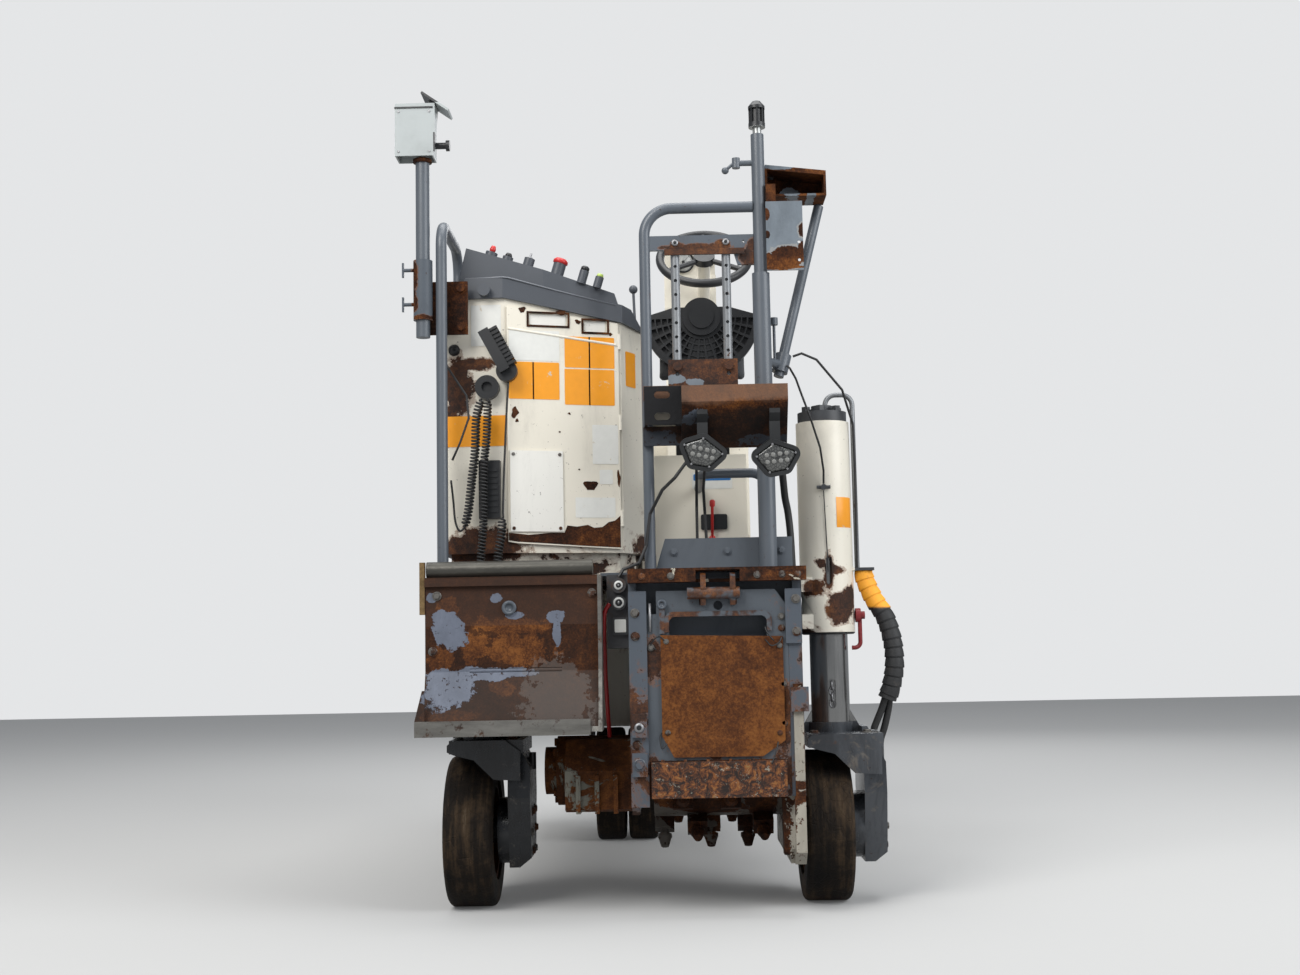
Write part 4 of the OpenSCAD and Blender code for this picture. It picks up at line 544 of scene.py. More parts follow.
CABINET_SPOTS = ((-0.505, 1.425, 0.045, 0.075), (-0.53, 1.33, 0.03, 0.06),
                 (-0.46, 1.49, 0.05, 0.018), (-0.44, 0.985, 0.11, 0.045),
                 (-0.51, 0.97, 0.05, 0.03), (0.02, 0.985, 0.05, 0.03))
COLUMN_SPOTS = ((0.545, 0.80, 0.034, 0.045), (0.475, 0.855, 0.030, 0.022),
                (0.515, 0.90, 0.014, 0.060), (0.530, 0.905, 0.032, 0.012),
                (0.570, 0.83, 0.022, 0.035), (0.495, 0.925, 0.016, 0.014))
GUARD_SPOTS = ((0.165, 1.786, 0.078, 0.009), (0.115, 1.789, 0.020, 0.011),
               (0.236, 1.789, 0.020, 0.014), (0.300, 1.757, 0.022, 0.028),
               (0.318, 1.790, 0.014, 0.018))
SKID_SPOTS = ((0.404, 0.15, 0.036, 0.125), (0.43, 0.07, 0.05, 0.06))
LEFT_COLUMN_X, RIGHT_COLUMN_X = -0.455, 0.515
painted("cream", CREAM, 0.22, 0.32, 0.25)
painted("cream_worn", CREAM, 0.36, 0.34, 0.42, 4, CABINET_SPOTS, 0.90, 1.16)
painted("cream_cover", CREAM, 0.30, 0.32, 0.40, 5, (), 0.93, 1.10)
painted("grey", PAINT_GREY, 0.34, 0.4, 0.4, 9)
painted("grey_worn", (0.068, 0.082, 0.102), 0.70, 0.45, 0.6, 7, (), 0.40, 0.80)
painted("guard", (0.090, 0.105, 0.125), 0.42, 0.38, 0.55, 9, GUARD_SPOTS)
painted("red_dark", (0.20, 0.012, 0.014), 0.45, 0.4, 0.5, 16)
painted("white_plate", (0.80, 0.785, 0.73), 0.20, 0.4, 0.5, 12)
column_paint("column", LEFT_COLUMN_X)
column_paint("column_right", RIGHT_COLUMN_X, COLUMN_SPOTS)
leg_paint("leg", (0.017, 0.019, 0.022), 0.85)
# The right leg's paint is a lighter copy of the left leg's: painted light, as that leg stands lit. It
# is also less oily.
leg_paint("leg_right", (0.064, 0.070, 0.079), 0.45)
rusty("rust")
rusty("rust_cover", 4, 0.07, lift=0.20)
rusty("rust_dark", 7, -0.02)
rusty("rear_edge", 7, -0.005, (0.40, 0.37, 0.30), 0.18)
# The gear housing's rust is lightened and warmed (glow 0.04, lift 0.25): painted light, as it stands
# in shade
rusty("gear", 8, 0.04, (0.15, 0.145, 0.12), 0.36, lift=0.25)
rusty("skid", 8, 0, (0.27, 0.25, 0.21), 0.66, SKID_SPOTS)
rusty("drum", 10, -0.015, (0.085, 0.075, 0.065), 0.35)
greasy("greasy")
greasy("casting", (0.022, 0.025, 0.030), 0.25, 0.4)
steel("steel")
steel("steel_rusty", (0.20, 0.19, 0.175), 0.42, 0.62)
steel("zinc", (0.30, 0.31, 0.32), 0.35, 0.08)
plastic("console", (0.062, 0.069, 0.081), 0.42)
# Light grey for the painted highlight along the console lip's top edge
plastic("console_highlight", (0.16, 0.17, 0.19), 0.35)
plastic("black", (0.0085, 0.0092, 0.0105), 0.40, dust=0.12)
plastic("lamp", (0.011, 0.012, 0.013), 0.45, 260, 0.25)
plastic("cell", (0.20, 0.20, 0.19), 0.3, 200, 0.1)
plastic("red", (0.50, 0.020, 0.018), 0.35)
plastic("red_hose", (0.30, 0.012, 0.014), 0.4)
plastic("green", (0.42, 0.55, 0.12), 0.35)
plastic("white", (0.66, 0.67, 0.65))
plastic("hose", (0.0095, 0.0095, 0.010), 0.5, 200, 0.2)
label("orange", (0.86, 0.33, 0.012))
label("white_label", (0.74, 0.74, 0.70), 0.5)
label("blue", (0.03, 0.16, 0.42))
fabric("cushion", (0.030, 0.031, 0.034))
banded("sleeve", (0.013, 0.0135, 0.0145), (0.86, 0.36, 0.02), 0.806, 0.92)
for name, make in (("scraper", scraper_paint), ("tool_paint", tool_paint), ("bars", bar_finish),
                   ("clamp", clamp_finish), ("beam", beam_rust), ("housing", wheel_housing),
                   ("tyre", rubber_wheel), ("beacon", beacon_finish), ("lens", lens_glass),
                   ("box", mast_head), ("deck", tread_plate)):
    make(name)

# The frame's nodes by their materials
LOOKS = {
    "cream": "fuel_tank seat_pedestal steering_console engine_hood",
    "cream_worn": "main_frame cabinet", "cream_cover": "cabinet_cover",
    "column": "left_column", "column_right": "right_column", "red_dark": "column_lever",
    "zinc": "column_pipe", "casting": "counterweight engine_block front_fork front_hubs",
    "grey": "platform_deck left_handrail main_pole knee_rail diagonal_brace mast_tube",
    "grey_worn": "drum_housing", "gear": "drum_drive_housing", "housing": "left_wheel_housing",
    "rear_edge": "rear_beam", "deck": "access_step", "greasy": "valve_block",
    "console": "control_console", "black": "handset keypad_box seat_shell steering_wheel",
    "clamp": "mast_clamp", "guard": "guard_frame", "beacon": "beacon", "bars": "backrest_bars",
    "beam": "lamp_beam", "lamp": "work_lamps", "tool_paint": "tool_box",
    "cushion": "seat_cushion", "tyre": "front_tyres left_tyre right_tyre", "leg": "left_leg",
    "leg_right": "right_leg", "rust": "left_rim right_rim", "drum": "milling_drum",
    "scraper": "scraper_frame", "rust_cover": "scraper_cover", "skid": "side_skid",
    "box": "mast_box", "sleeve": "leg_hose",
    "hose": "column_cables lamp_leads handset_cord socket_cords mast_lead small_hoses",
}
for look, nodes in LOOKS.items():
    for node in nodes.split():
        for slot in frame["nodes"][node].material_slots:
            slot.material = M[look]


# Piece helpers
def finish(obj, look, node):
    """Gives a piece its material, and the body of a node of the part."""
    obj.data.materials.clear()
    obj.data.materials.append(M[look])
    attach(obj, BODY[node])
    return obj


def to_mesh(name, bm, smooth=True):
    mesh = bpy.data.meshes.new(name)
    bmesh.ops.recalc_face_normals(bm, faces=bm.faces)
    bm.to_mesh(mesh)
    bm.free()
    for face in mesh.polygons:
        face.use_smooth = smooth
    return mesh


def add_piece(name, bm, look, node, smooth=True, bevel=0.0):
    obj = finish(add_object(name, to_mesh(name, bm, smooth)), look, node)
    if bevel:
        mod = obj.modifiers.new("edges", "BEVEL")
        mod.width, mod.segments, mod.limit_method = bevel, 2, "ANGLE"
    return obj


def axes(normal):
    """A normal and two unit directions across it, the first one level."""
    normal = Vector(normal).normalized()
    side = UP.cross(normal)
    side = side.normalized() if side.length > 1e-4 else Vector((1, 0, 0))
    return normal, side, normal.cross(side)


def turns(count):
    return [2 * math.pi * k / count for k in range(count)]


def circle(center, side, up, radius, sides):
    return [center + radius * (side * math.cos(a) + up * math.sin(a)) for a in turns(sides)]


def skin(bm, loops, hole=False, strip=False):
    """Faces between loops of points. hole joins the last loop to the first, strip leaves all
    loops open, and otherwise the ends are closed."""
    loops = [[bm.verts.new(point) for point in loop] for loop in loops]
    count = max(len(loop) for loop in loops)
    for a, b in zip(loops, loops[1:] + loops[:1] if hole else loops[1:]):
        for k in range(count - strip):
            j = (k + 1) % count
            if len(a) == 1:
                bm.faces.new((a[0], b[k], b[j]))
            elif len(b) == 1:
                bm.faces.new((a[k], a[j], b[0]))
            else:
                bm.faces.new((a[k], a[j], b[j], b[k]))
    for loop in () if hole or strip else (loops[0], loops[-1]):
        if len(loop) > 1:
            bm.faces.new(loop)


def add_rings(bm, place, normal, rings, sides=24, hole=False):
    """Lathed stack: rings are (radius, height along the normal)."""
    normal, side, up = axes(normal)
    skin(bm, [circle(Vector(place) + normal * height, side, up, radius, sides if radius else 1)
              for radius, height in rings], hole)


def lathe(name, place, normal, rings, look, node, sides=24, hole=False, smooth=True,
          bevel=0.0):
    bm = bmesh.new()
    add_rings(bm, place, normal, rings, sides, hole)
    add_piece(name, bm, look, node, smooth, bevel)


def add_block(bm, center, size, turn=None):
    """Box of a size about its centre, turned by a 3x3 matrix."""
    turn = turn or Matrix.Identity(3)
    corners = [bm.verts.new(Vector(center) + turn @ Vector(
        (size[0] * i / 2, size[1] * j / 2, size[2] * k / 2)))
        for i in (-1, 1) for j in (-1, 1) for k in (-1, 1)]
    for quad in ((0, 1, 3, 2), (4, 6, 7, 5), (0, 4, 5, 1), (2, 3, 7, 6), (0, 2, 6, 4),
                 (1, 5, 7, 3)):
        bm.faces.new([corners[i] for i in quad])


def bolts(name, places, normal, radius, node, look="steel_rusty", height=0.008, washer=True):
    """Hexagon heads with washers, all in one piece."""
    bm = bmesh.new()
    for place in places:
        if washer:
            add_rings(bm, place, normal, ((radius * 1.35, -0.001), (radius * 1.35, 0.002),
                                          (radius * 1.2, 0.003)), 20)
        add_rings(bm, place, normal, ((radius, 0.0), (radius, height * 0.8),
                                      (radius * 0.82, height)), 6)
    add_piece(name, bm, look, node, False)


def rounded_outline(width, height, radius, steps=5):
    points = []
    for cx, cy, start in ((width / 2, height / 2, 0), (-width / 2, height / 2, 90),
                          (-width / 2, -height / 2, 180), (width / 2, -height / 2, 270)):
        sx, sy = math.copysign(radius, cx), math.copysign(radius, cy)
        for i in range(steps + 1):
            a = math.radians(start + 90 * i / steps)
            points.append((cx - sx + radius * math.cos(a), cy - sy + radius * math.sin(a)))
    return points


def plate(name, center, normal, size, thick, look, node="cabinet", radius=0.004, outline=None,
          bevel=0.0):
    """Flat plate with round corners, standing proud of the surface at its centre."""
    normal, side, up = axes(normal)
    bm = bmesh.new()
    skin(bm, [[Vector(center) + side * u + up * v + normal * out
               for u, v in outline or rounded_outline(*size, radius)] for out in (0.0, thick)])
    add_piece(name, bm, look, node, False, bevel)


def lengths(path):
    """How far along a path each of its points lies."""
    reach = [0.0]
    for a, b in zip(path, path[1:]):
        reach.append(reach[-1] + (b - a).length)
    return reach


def smooth_path(route, per=8):
    """Catmull-Rom points in metres through a route in millimetres."""
    pts = [Vector(p) * MM for p in route]
    pts = [pts[0] * 2 - pts[1]] + pts + [pts[-1] * 2 - pts[-2]]
    out = []
    for a, b, c, d in zip(pts, pts[1:], pts[2:], pts[3:]):
        for t in (i / per for i in range(per)):
            out.append(0.5 * (2 * b + (c - a) * t + (2 * a - 5 * b + 4 * c - d) * t * t
                              + (3 * b - a - 3 * c + d) * t ** 3))
    return out + [pts[-2]]


def sweep(name, path, radius, look, node, sides=10):
    """Tube along a path; radius is a number or a function of the length so far."""
    loops = []
    up = Vector((0, 1, 0))
    for i, (point, reach) in enumerate(zip(path, lengths(path))):
        ahead = (path[min(i + 1, len(path) - 1)] - path[max(i - 1, 0)]).normalized()
        side = ahead.cross(up)
        if side.length < 0.05:
            side = ahead.cross(Vector((1, 0, 0)))
        side.normalize()
        up = side.cross(ahead).normalized()
        loops.append(circle(point, side, up, radius(reach) if callable(radius) else radius,
                            sides))
    bm = bmesh.new()
    skin(bm, loops)
    return add_piece(name, bm, look, node)


# Hoses and cords: routes as in the part's source, in millimetres
SLEEVE = [(620, -850, 904.7), (620, -850, 892), (628, -853, 864), (646, -860, 822),
          (674, -868, 772), (691, -874, 706), (694, -875, 640), (684, -870, 582),
          (672, -865, 548)]
HOSE_A = [(668, -868, 556), (656, -864, 520), (641, -862, 485), (634, -862, 468),
          (633, -862, 462.4)]
HOSE_B = [(680, -862, 556), (676, -855, 520), (664, -851, 470), (653, -850, 438),
          (650, -850, 418.6)]
RED_ROUTE = [(-87, -1121, 818), (-99, -1120, 800), (-103, -1114, 775), (-104, -1095, 725),
             (-104, -1060, 640), (-102, -1015, 545), (-100, -962, 472), (-100, -957, 461)]
POLE_ROUTE = [(376, -1103, 1237.7), (377, -1102, 1215), (380, -1088, 1180),
              (386, -1050, 1140), (392, -1015, 1100), (400, -1000, 1060), (405, -1000, 1000),
              (408, -1000, 905.4)]
PHONE_COIL = [(-376, -1050, 1060), (-380, -1056, 1010), (-388, -1060, 960), (-390, -1060, 893)]
PHONE_LEAD = [(-358, -1042, 1432), (-364, -1044, 1340), (-372, -1046, 1180),
              (-376, -1050, 1060)]
COIL_A = [(-430, -1060, 1384), (-444, -1062, 1330), (-448, -1062, 1242), (-457, -1062, 1168),
          (-468, -1062, 1076), (-479, -1062, 1031)]
COIL_A_END = [(-479, -1062, 1031), (-492, -1062, 1024), (-503, -1064, 1050),
              (-508, -1068, 1110), (-512, -1079, 1160)]
COIL_B = [(-412, -1064, 1384), (-416, -1068, 1271), (-424, -1068, 1196), (-426, -1068, 1053),
          (-434, -1064, 956), (-436, -1060, 893)]
HOSE_R = 0.0098
COIL_R, WIRE_R, PITCH_Z = 0.0098, 0.0029, 0.0092


def leg_sleeve():
    """Hose sleeve of overlapping segments, with the two hoses that leave it."""
    def radius(reach, step=0.026):
        return 0.0240 + 0.0040 * (reach % step / step) ** 0.6

    pieces = [sweep("leg_sleeve", smooth_path(SLEEVE, 28), radius, "sleeve", "leg_hose", 20)]
    for name, route in (("leg_hose_a", HOSE_A), ("leg_hose_b", HOSE_B)):
        pieces.append(sweep(name, smooth_path(route), HOSE_R, "hose", "leg_hose", 14))
    for piece in pieces:
        piece.parent = None
        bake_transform(piece)
    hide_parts("leg_hose")


def coil(name, route, node, turn_r=COIL_R, lead=(), tail=()):
    """Curled cord: its wire winds round a route, with straight ends."""
    spine = smooth_path(route, 24)
    reach = lengths(spine)
    total = reach[-1]
    per_turn = 14
    count = int(total / PITCH_Z) * per_turn
    points = smooth_path(lead, 10)[:-1] if lead else []
    j = 0
    for i in range(count + 1):
        s = total * i / count
        while j < len(reach) - 2 and reach[j + 1] < s:
            j += 1
        place = spine[j].lerp(spine[j + 1], (s - reach[j]) / (reach[j + 1] - reach[j]))
        ahead = (spine[j + 1] - spine[j]).normalized()
        side = ahead.cross(Vector((0, 1, 0))).normalized()
        ease = min(1.0, s / (PITCH_Z * 1.5), (total - s) / (PITCH_Z * 1.5))
        angle = 2 * math.pi * i / per_turn
        points.append(place + turn_r * max(0.12, ease) * (
            side * math.cos(angle) + side.cross(ahead) * math.sin(angle)))
    if tail:
        points += smooth_path(tail, 10)[1:]
    piece = sweep(name, points, WIRE_R, "hose", node, 8)
    lengths(points)[-1]
    return piece


leg_sleeve()
RED_HOSE = sweep("red_hose", smooth_path(RED_ROUTE), 0.0058, "red_hose", "small_hoses", 12)
sweep("beam_hose", smooth_path(POLE_ROUTE), HOSE_R, "hose", "small_hoses", 14)
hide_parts("small_hoses")
PHONE = coil("handset_curl", PHONE_COIL, "handset_cord", lead=PHONE_LEAD)
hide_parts("handset_cord")
CURL_A = coil("socket_curl_a", COIL_A, "socket_cords", tail=COIL_A_END)
coil("socket_curl_b", COIL_B, "socket_cords", 0.0090)
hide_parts("socket_cords")


# Cabinet: places on its bent rear plates, in millimetres along them and up
FOLD = Vector((-0.370, -1.010, 0))
FACE_TURN = math.atan2(95, 318)
FACE_ALONG = Vector((math.cos(FACE_TURN), math.sin(FACE_TURN), 0))
FACE_NORMAL = Vector((math.sin(FACE_TURN), -math.cos(FACE_TURN), 0))
COVER, PLATE = 0.0092, 0.0132
REAR_NORMAL = Vector((-10, -182, 0)).normalized()
CHAMFER = Vector((-0.052, -0.915, 0))
CHAMFER_ALONG = Vector((55, 105, 0)).normalized()
CHAMFER_NORMAL = Vector((CHAMFER_ALONG.y, -CHAMFER_ALONG.x, 0))
FOIL = 0.0006


def on_face(s, z, out=COVER):
    return FOLD + FACE_ALONG * s * MM + FACE_NORMAL * out + UP * z * MM


def on_rear(x, z, out=0.0004):
    share = (x + 552) / 182
    return Vector((x * MM, -1.0 - 0.010 * share, z * MM)) + REAR_NORMAL * out


def face_patch(name, s0, s1, z0, z1, look, thick=FOIL, out=COVER, radius=0.003):
    plate(name, on_face((s0 + s1) / 2, (z0 + z1) / 2, out), FACE_NORMAL,
          ((s1 - s0) * MM, (z1 - z0) * MM), thick, look, radius=radius)


def cabinet_foils():
    """Blank foils: their places and colours follow the machine, without any print."""
    for name, s0, s1, z0, z1, look in (
            ("foil_a", 8, 151, 1390, 1494, "orange"), ("foil_b", 167, 310, 1482, 1570, "orange"),
            ("foil_c", 166, 309, 1377, 1478, "orange"), ("foil_d", 9, 152, 1498, 1583, "white_label"),
            ("foil_e", 243, 317, 1212, 1322, "white_label"),
            ("foil_f", 192, 306, 1062, 1118, "white_label"),
            ("foil_g", 262, 300, 1156, 1196, "white_label")):
        face_patch(name, s0, s1, z0, z1, look)
    # Lines that part the foils' fields
    for i, (s, z0, z1) in enumerate(((76, 1390, 1494), (237, 1482, 1570), (236, 1377, 1478))):
        face_patch(f"foil_line_{i}", s, s + 2, z0, z1, "rust_dark", 0.0008)
    for name, x0, x1, z0, z1, look in (("foil_rear", -534, -368, 1260, 1345, "orange"),
                                       ("foil_number", -464, -380, 1540, 1655, "white_label")):
        plate(name, on_rear((x0 + x1) / 2, (z0 + z1) / 2), REAR_NORMAL,
              ((x1 - x0) * MM, (z1 - z0) * MM), FOIL, look, radius=0.003)
    plate("foil_chamfer", CHAMFER + CHAMFER_ALONG * 0.053 + CHAMFER_NORMAL * 0.0004 + UP * 1.489,
          CHAMFER_NORMAL, (0.056, 0.10), FOIL, "orange")


def cabinet_grips():
    """Grips that are pale inside, their folded rims chipped to brown steel."""
    rim, tall = 6, 38
    for i, (s0, s1, z) in enumerate(((66, 176, 1615), (222, 290, 1601))):
        face_patch(f"grip_inside_{i}", s0 + 3, s1 - 3, z - 15, z + 15, "white_plate", 0.0008,
                   0.0034, 0.008)
        bm = bmesh.new()
        half, wide = (s1 - s0) / 2 + 3, s1 - s0 + 12
        for du, dv, w, h in ((0, 19, wide, rim), (0, -19, wide, rim), (-half, 0, rim, tall),
                             (half, 0, rim, tall)):
            add_block(bm, on_face((s0 + s1) / 2 + du, z + dv, COVER + 0.0012),
                      (w * MM, 0.0035, h * MM), Matrix.Rotation(FACE_TURN, 3, "Z"))
        add_piece(f"grip_rim_{i}", bm, "rust_dark", "cabinet_cover", False, 0.0012)


def cabinet_details():
    """Service plate, lock and hinges, and brown steel where the paint has gone."""
    face_patch("service_plate", 9, 157, 1023, 1246, "white_plate", FOIL, PLATE)
    bolts("plate_screws", [on_face(s, z, PLATE + 0.0004) for s in (18, 148)
                           for z in (1032, 1236)],
          FACE_NORMAL, 0.005, "cabinet_cover", height=0.003, washer=False)
    bare = ((4, 1020), (60, 1014), (120, 1020), (160, 1020), (168, 1040), (196, 1037),
            (226, 1042), (244, 1034), (268, 1036), (286, 1050), (304, 1054), (320, 1068),
            (320, 979), (200, 985), (90, 992), (30, 995), (5, 999))
    plate("bare_edge", on_face(0, 0), FACE_NORMAL, None, 0.0004, "rust_dark",
          outline=[(u * MM, v * MM) for u, v in bare])
    # Single chips: place along and up, width and height
    for i, (s, z, w, h) in enumerate((
            (236, 1151, 46, 42), (317, 1172, 12, 52), (24, 1352, 24, 34), (30, 1330, 10, 16),
            (178, 1352, 10, 8), (160, 1638, 34, 20), (48, 1640, 22, 26), (206, 1612, 20, 16),
            (300, 1580, 12, 10), (310, 1318, 14, 16), (204, 1196, 7, 6), (150, 1300, 8, 5))):
        plate(f"chip_{i}", on_face(s, z), FACE_NORMAL, None, 0.0005, "rust_dark", outline=[
            (0.5 * w * MM * math.cos(a) * (0.8 + 0.25 * math.sin(3 * a + i)),
             0.5 * h * MM * math.sin(a) * (0.8 + 0.25 * math.cos(2 * a + 2 * i)))
            for a in turns(18)])
    lathe("cabinet_lock", on_rear(-511, 1530), REAR_NORMAL, (
        (0.016, 0.0), (0.016, 0.004), (0.011, 0.007), (0.011, 0.010), (0.004, 0.010),
        (0.004, 0.006), (0, 0.006)), "black", "cabinet", 28)
    for i, z in enumerate((1060, 1330, 1560)):
        lathe(f"cover_hinge_{i}", on_face(325, z - 22, 0.004), UP,
              ((0.007, 0.0), (0.007, 0.044)), "cream_cover", "cabinet_cover", 16,
              smooth=False, bevel=0.001)


# Console: switches on its sloping top
WEDGE_TOP = Vector((-0.478, -0.960, 1.822))
WEDGE_SLOPE = math.atan2(125, 411)
WEDGE_ALONG = Vector((math.cos(WEDGE_SLOPE), 0, -math.sin(WEDGE_SLOPE)))
WEDGE_NORMAL = Vector((math.sin(WEDGE_SLOPE), 0, math.cos(WEDGE_SLOPE)))
SWITCHES = (
    ("toggle_red", 68, 13, "red", ((7, 0), (9, 10), (6, 20), (0, 22))),
    ("toggle_black", 116, 13, "black", ((10, 0), (10, 6), (7, 12), (0, 13))),
    ("key_switch", 176, 25, "steel", ((8, 0), (8, 4), (3, 6), (3, 16), (0, 17))),
    ("stop_button", 262, 33, "red", ((15, 0), (21, 3), (21, 10), (15, 16), (0, 18))),
    ("selector", 334, 33, "black", ((12, 0), (12, 10), (8, 14), (0, 15))),
    ("start_cap", 380, 27, "green", ((9, 0), (10, 4), (8, 10), (0, 12))),
)
SMALL_SWITCH = ((12, -1), (12, 3), (8, 5), (4.5, 6), (5.5, 20), (0, 22))


def on_wedge(s, out):
    return WEDGE_TOP + WEDGE_ALONG * s * MM + WEDGE_NORMAL * out * MM


def console_details():
    """Switches in two rows, and a light strip, a painted highlight, that parts the lip from the
    wedge.
    """
    def switch(name, place, rings, look, sides):
        lathe(name, place, WEDGE_NORMAL, [(r * MM, h * MM) for r, h in rings], look,
              "control_console", sides)

    for name, s, out, look, rings in SWITCHES:
        switch(name, on_wedge(s, out), rings, look, 28)
    for i, s in enumerate(range(30, 400, 46)):
        switch(f"small_switch_{i}", on_wedge(s, 0) + Vector((0, 0.13, 0)), SMALL_SWITCH,
               "black" if i % 3 else "red", 22)
    # Painted highlight: a lighter strip along the lip's top edge
    lip = [Vector((-0.478, -1.0105, 1.7295)), Vector((-0.372, -1.0225, 1.7295)),
           on_face(10, 1728, 0.0128), on_face(150, 1697, 0.0128), on_face(318, 1663, 0.0128)]
    sweep("console_lip_highlight", lip, 0.0022, "console_highlight", "control_console", 8)


cabinet_foils()
cabinet_grips()
cabinet_details()
console_details()


# Lamps, gauges, seat and mast box
LAMPS = ((0.167, 1.205, 14), (0.358, 1.188, -6))
LAMP_Y = -1.214
LAMP_FACE = ((-1, 0.25), (-0.15, 1), (0.95, 0.2), (0.45, -0.9), (-0.45, -1))


def rounded_hull(corners, radius, steps=6):
    """Outline of equal circles set at the corners of a convex shape, given clockwise."""
    points = []
    for i, (x, y) in enumerate(corners):
        before, after = corners[i - 1], corners[(i + 1) % len(corners)]
        a0 = math.atan2(y - before[1], x - before[0]) + math.pi / 2
        a1 = math.atan2(after[1] - y, after[0] - x) + math.pi / 2
        while a1 > a0:
            a1 -= 2 * math.pi
        for k in range(steps + 1):
            a = a0 + (a1 - a0) * k / steps
            points.append((x + radius * math.cos(a), y + radius * math.sin(a)))
    return points


def lamp_details():
    """Domed glass, bright emitters in two rows behind it, and screws on the rim."""
    outline = rounded_hull([(x * 0.042, z * 0.027) for x, z in LAMP_FACE], 0.0105)
    for i, (x, z, lean) in enumerate(LAMPS):
        place = Matrix.Translation((x, LAMP_Y, z)) @ turned(lean, "Y") @ turned(10, "X")
        facing = place.to_3x3() @ REAR
        bm = bmesh.new()
        skin(bm, [[place @ Vector((u * scale, depth, v * scale)) for u, v in outline]
                  for scale, depth in ((1.0, -0.007), (0.98, -0.0105), (0.80, -0.0125),
                                       (0.4, -0.0138))])
        add_piece(f"lamp_lens_{i}", bm, "lens", "work_lamps")
        bm = bmesh.new()
        for u in (-0.026, -0.009, 0.009, 0.026):
            for v in (-0.009, 0.009):
                add_rings(bm, place @ Vector((u, -0.0132, v)), facing,
                          ((0.0062, 0.0), (0.0055, 0.0012), (0.0032, 0.0016)), 14)
        add_piece(f"lamp_cells_{i}", bm, "cell", "work_lamps")
        screws = [place @ Vector((u * 0.052, -0.0155, v * 0.036)) for u, v in LAMP_FACE]
        bolts(f"lamp_screws_{i}", screws, facing, 0.003, "work_lamps", "steel", 0.002, False)


def gauge_details():
    """Two white dials in dark rings on the pod over the steering wheel."""
    normal, side, up = axes((0, -0.959, -0.283))
    slant = side + up
    node = "steering_console"
    for i, (x, size) in enumerate(((0.141, 0.0375), (0.212, 0.0285))):
        place = Vector((x, -0.0447, 2.005))
        lathe(f"gauge_ring_{i}", place, normal, (
            (size, -0.002), (size, 0.006), (size * 0.86, 0.008), (size * 0.84, 0.004),
            (0, 0.004)), "black", node, 36)
        lathe(f"gauge_dial_{i}", place, normal, (
            (size * 0.83, 0.0045), (size * 0.83, 0.005), (0, 0.0052)), "white", node, 36)
        bm = bmesh.new()
        add_rings(bm, place, normal, ((size * 0.14, 0.005), (size * 0.12, 0.009), (0, 0.0095)),
                  20)
        add_block(bm, place + normal * 0.007 + slant * size * 0.3, (0.0012, size * 0.8, 0.0012),
                  Matrix((side, slant.normalized(), normal)).transposed())
        add_piece(f"gauge_needle_{i}", bm, "black", node)


def evaluated(obj):
    return bpy.data.meshes.new_from_object(
        obj.evaluated_get(bpy.context.evaluated_depsgraph_get()))


def blow_up(obj, name, cap):
    """The shape remeshed and swollen as cloth, where no point moves more than the cap."""
    remesh = obj.modifiers.new("remesh", "REMESH")
    remesh.mode, remesh.voxel_size = "VOXEL", 0.006
    dense = evaluated(obj)
    bpy.data.objects.remove(obj)
    obj = add_object(name, dense)
    start = [v.co.copy() for v in dense.vertices]
    cloth = obj.modifiers.new("cloth", "CLOTH")
    cloth.settings.use_pressure = True
    cloth.settings.uniform_pressure_force = 4
    cloth.settings.effector_weights.gravity = 0
    for number in range(1, 21):
        scene.frame_set(number)
    swollen = evaluated(obj)
    obj.modifiers.clear()
    obj.data = swollen
    for vertex, origin in zip(swollen.vertices, start):
        move = vertex.co - origin
        if move.length > cap:
            vertex.co = origin + move.normalized() * cap
    scene.frame_set(1)
    return obj


def cushion(name, low, high, cap, depth, axis, face):
    """Padded block, blown up from a slightly smaller shape. Sewn channels of a depth press into
    its side that faces along an axis, where it lies beyond the face."""
    bm = bmesh.new()
    add_block(bm, [(a + b) / 2 for a, b in zip(low, high)],
              [b - a - 2 * cap * 0.55 for a, b in zip(low, high)])
    bmesh.ops.recalc_face_normals(bm, faces=bm.faces)
    bmesh.ops.bevel(bm, geom=bm.edges[:], offset=0.014, segments=4, affect="EDGES",
                    profile=0.5)
    obj = add_object(name, to_mesh(name, bm))
    obj = blow_up(obj, name, cap)
    for vertex in obj.data.vertices:
        for seam_x in (0.098, 0.181, 0.264):
            if vertex.co[axis] > face:
                gap = (vertex.co.x - seam_x) / 0.006
                vertex.co[axis] -= depth * math.exp(-gap ** 2)
    for polygon in obj.data.polygons:
        polygon.use_smooth = True
    mod = obj.modifiers.new("smooth", "SUBSURF")
    mod.levels = mod.render_levels = 1
    finish(obj, "cushion", "seat_cushion")
    return obj


def seats():
    low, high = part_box("seat_cushion")
    seat = cushion("seat_pad", (low[0], -0.662, 1.4045), (high[0], high[1], 1.470), 0.012,
                   0.006, 2, 1.44)
    cushion("back_pad", (low[0] + 0.02, -0.7275, 1.474), (high[0] - 0.02, -0.680, 1.700),
            0.010, 0.005, 1, -0.695)
    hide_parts("seat_cushion")


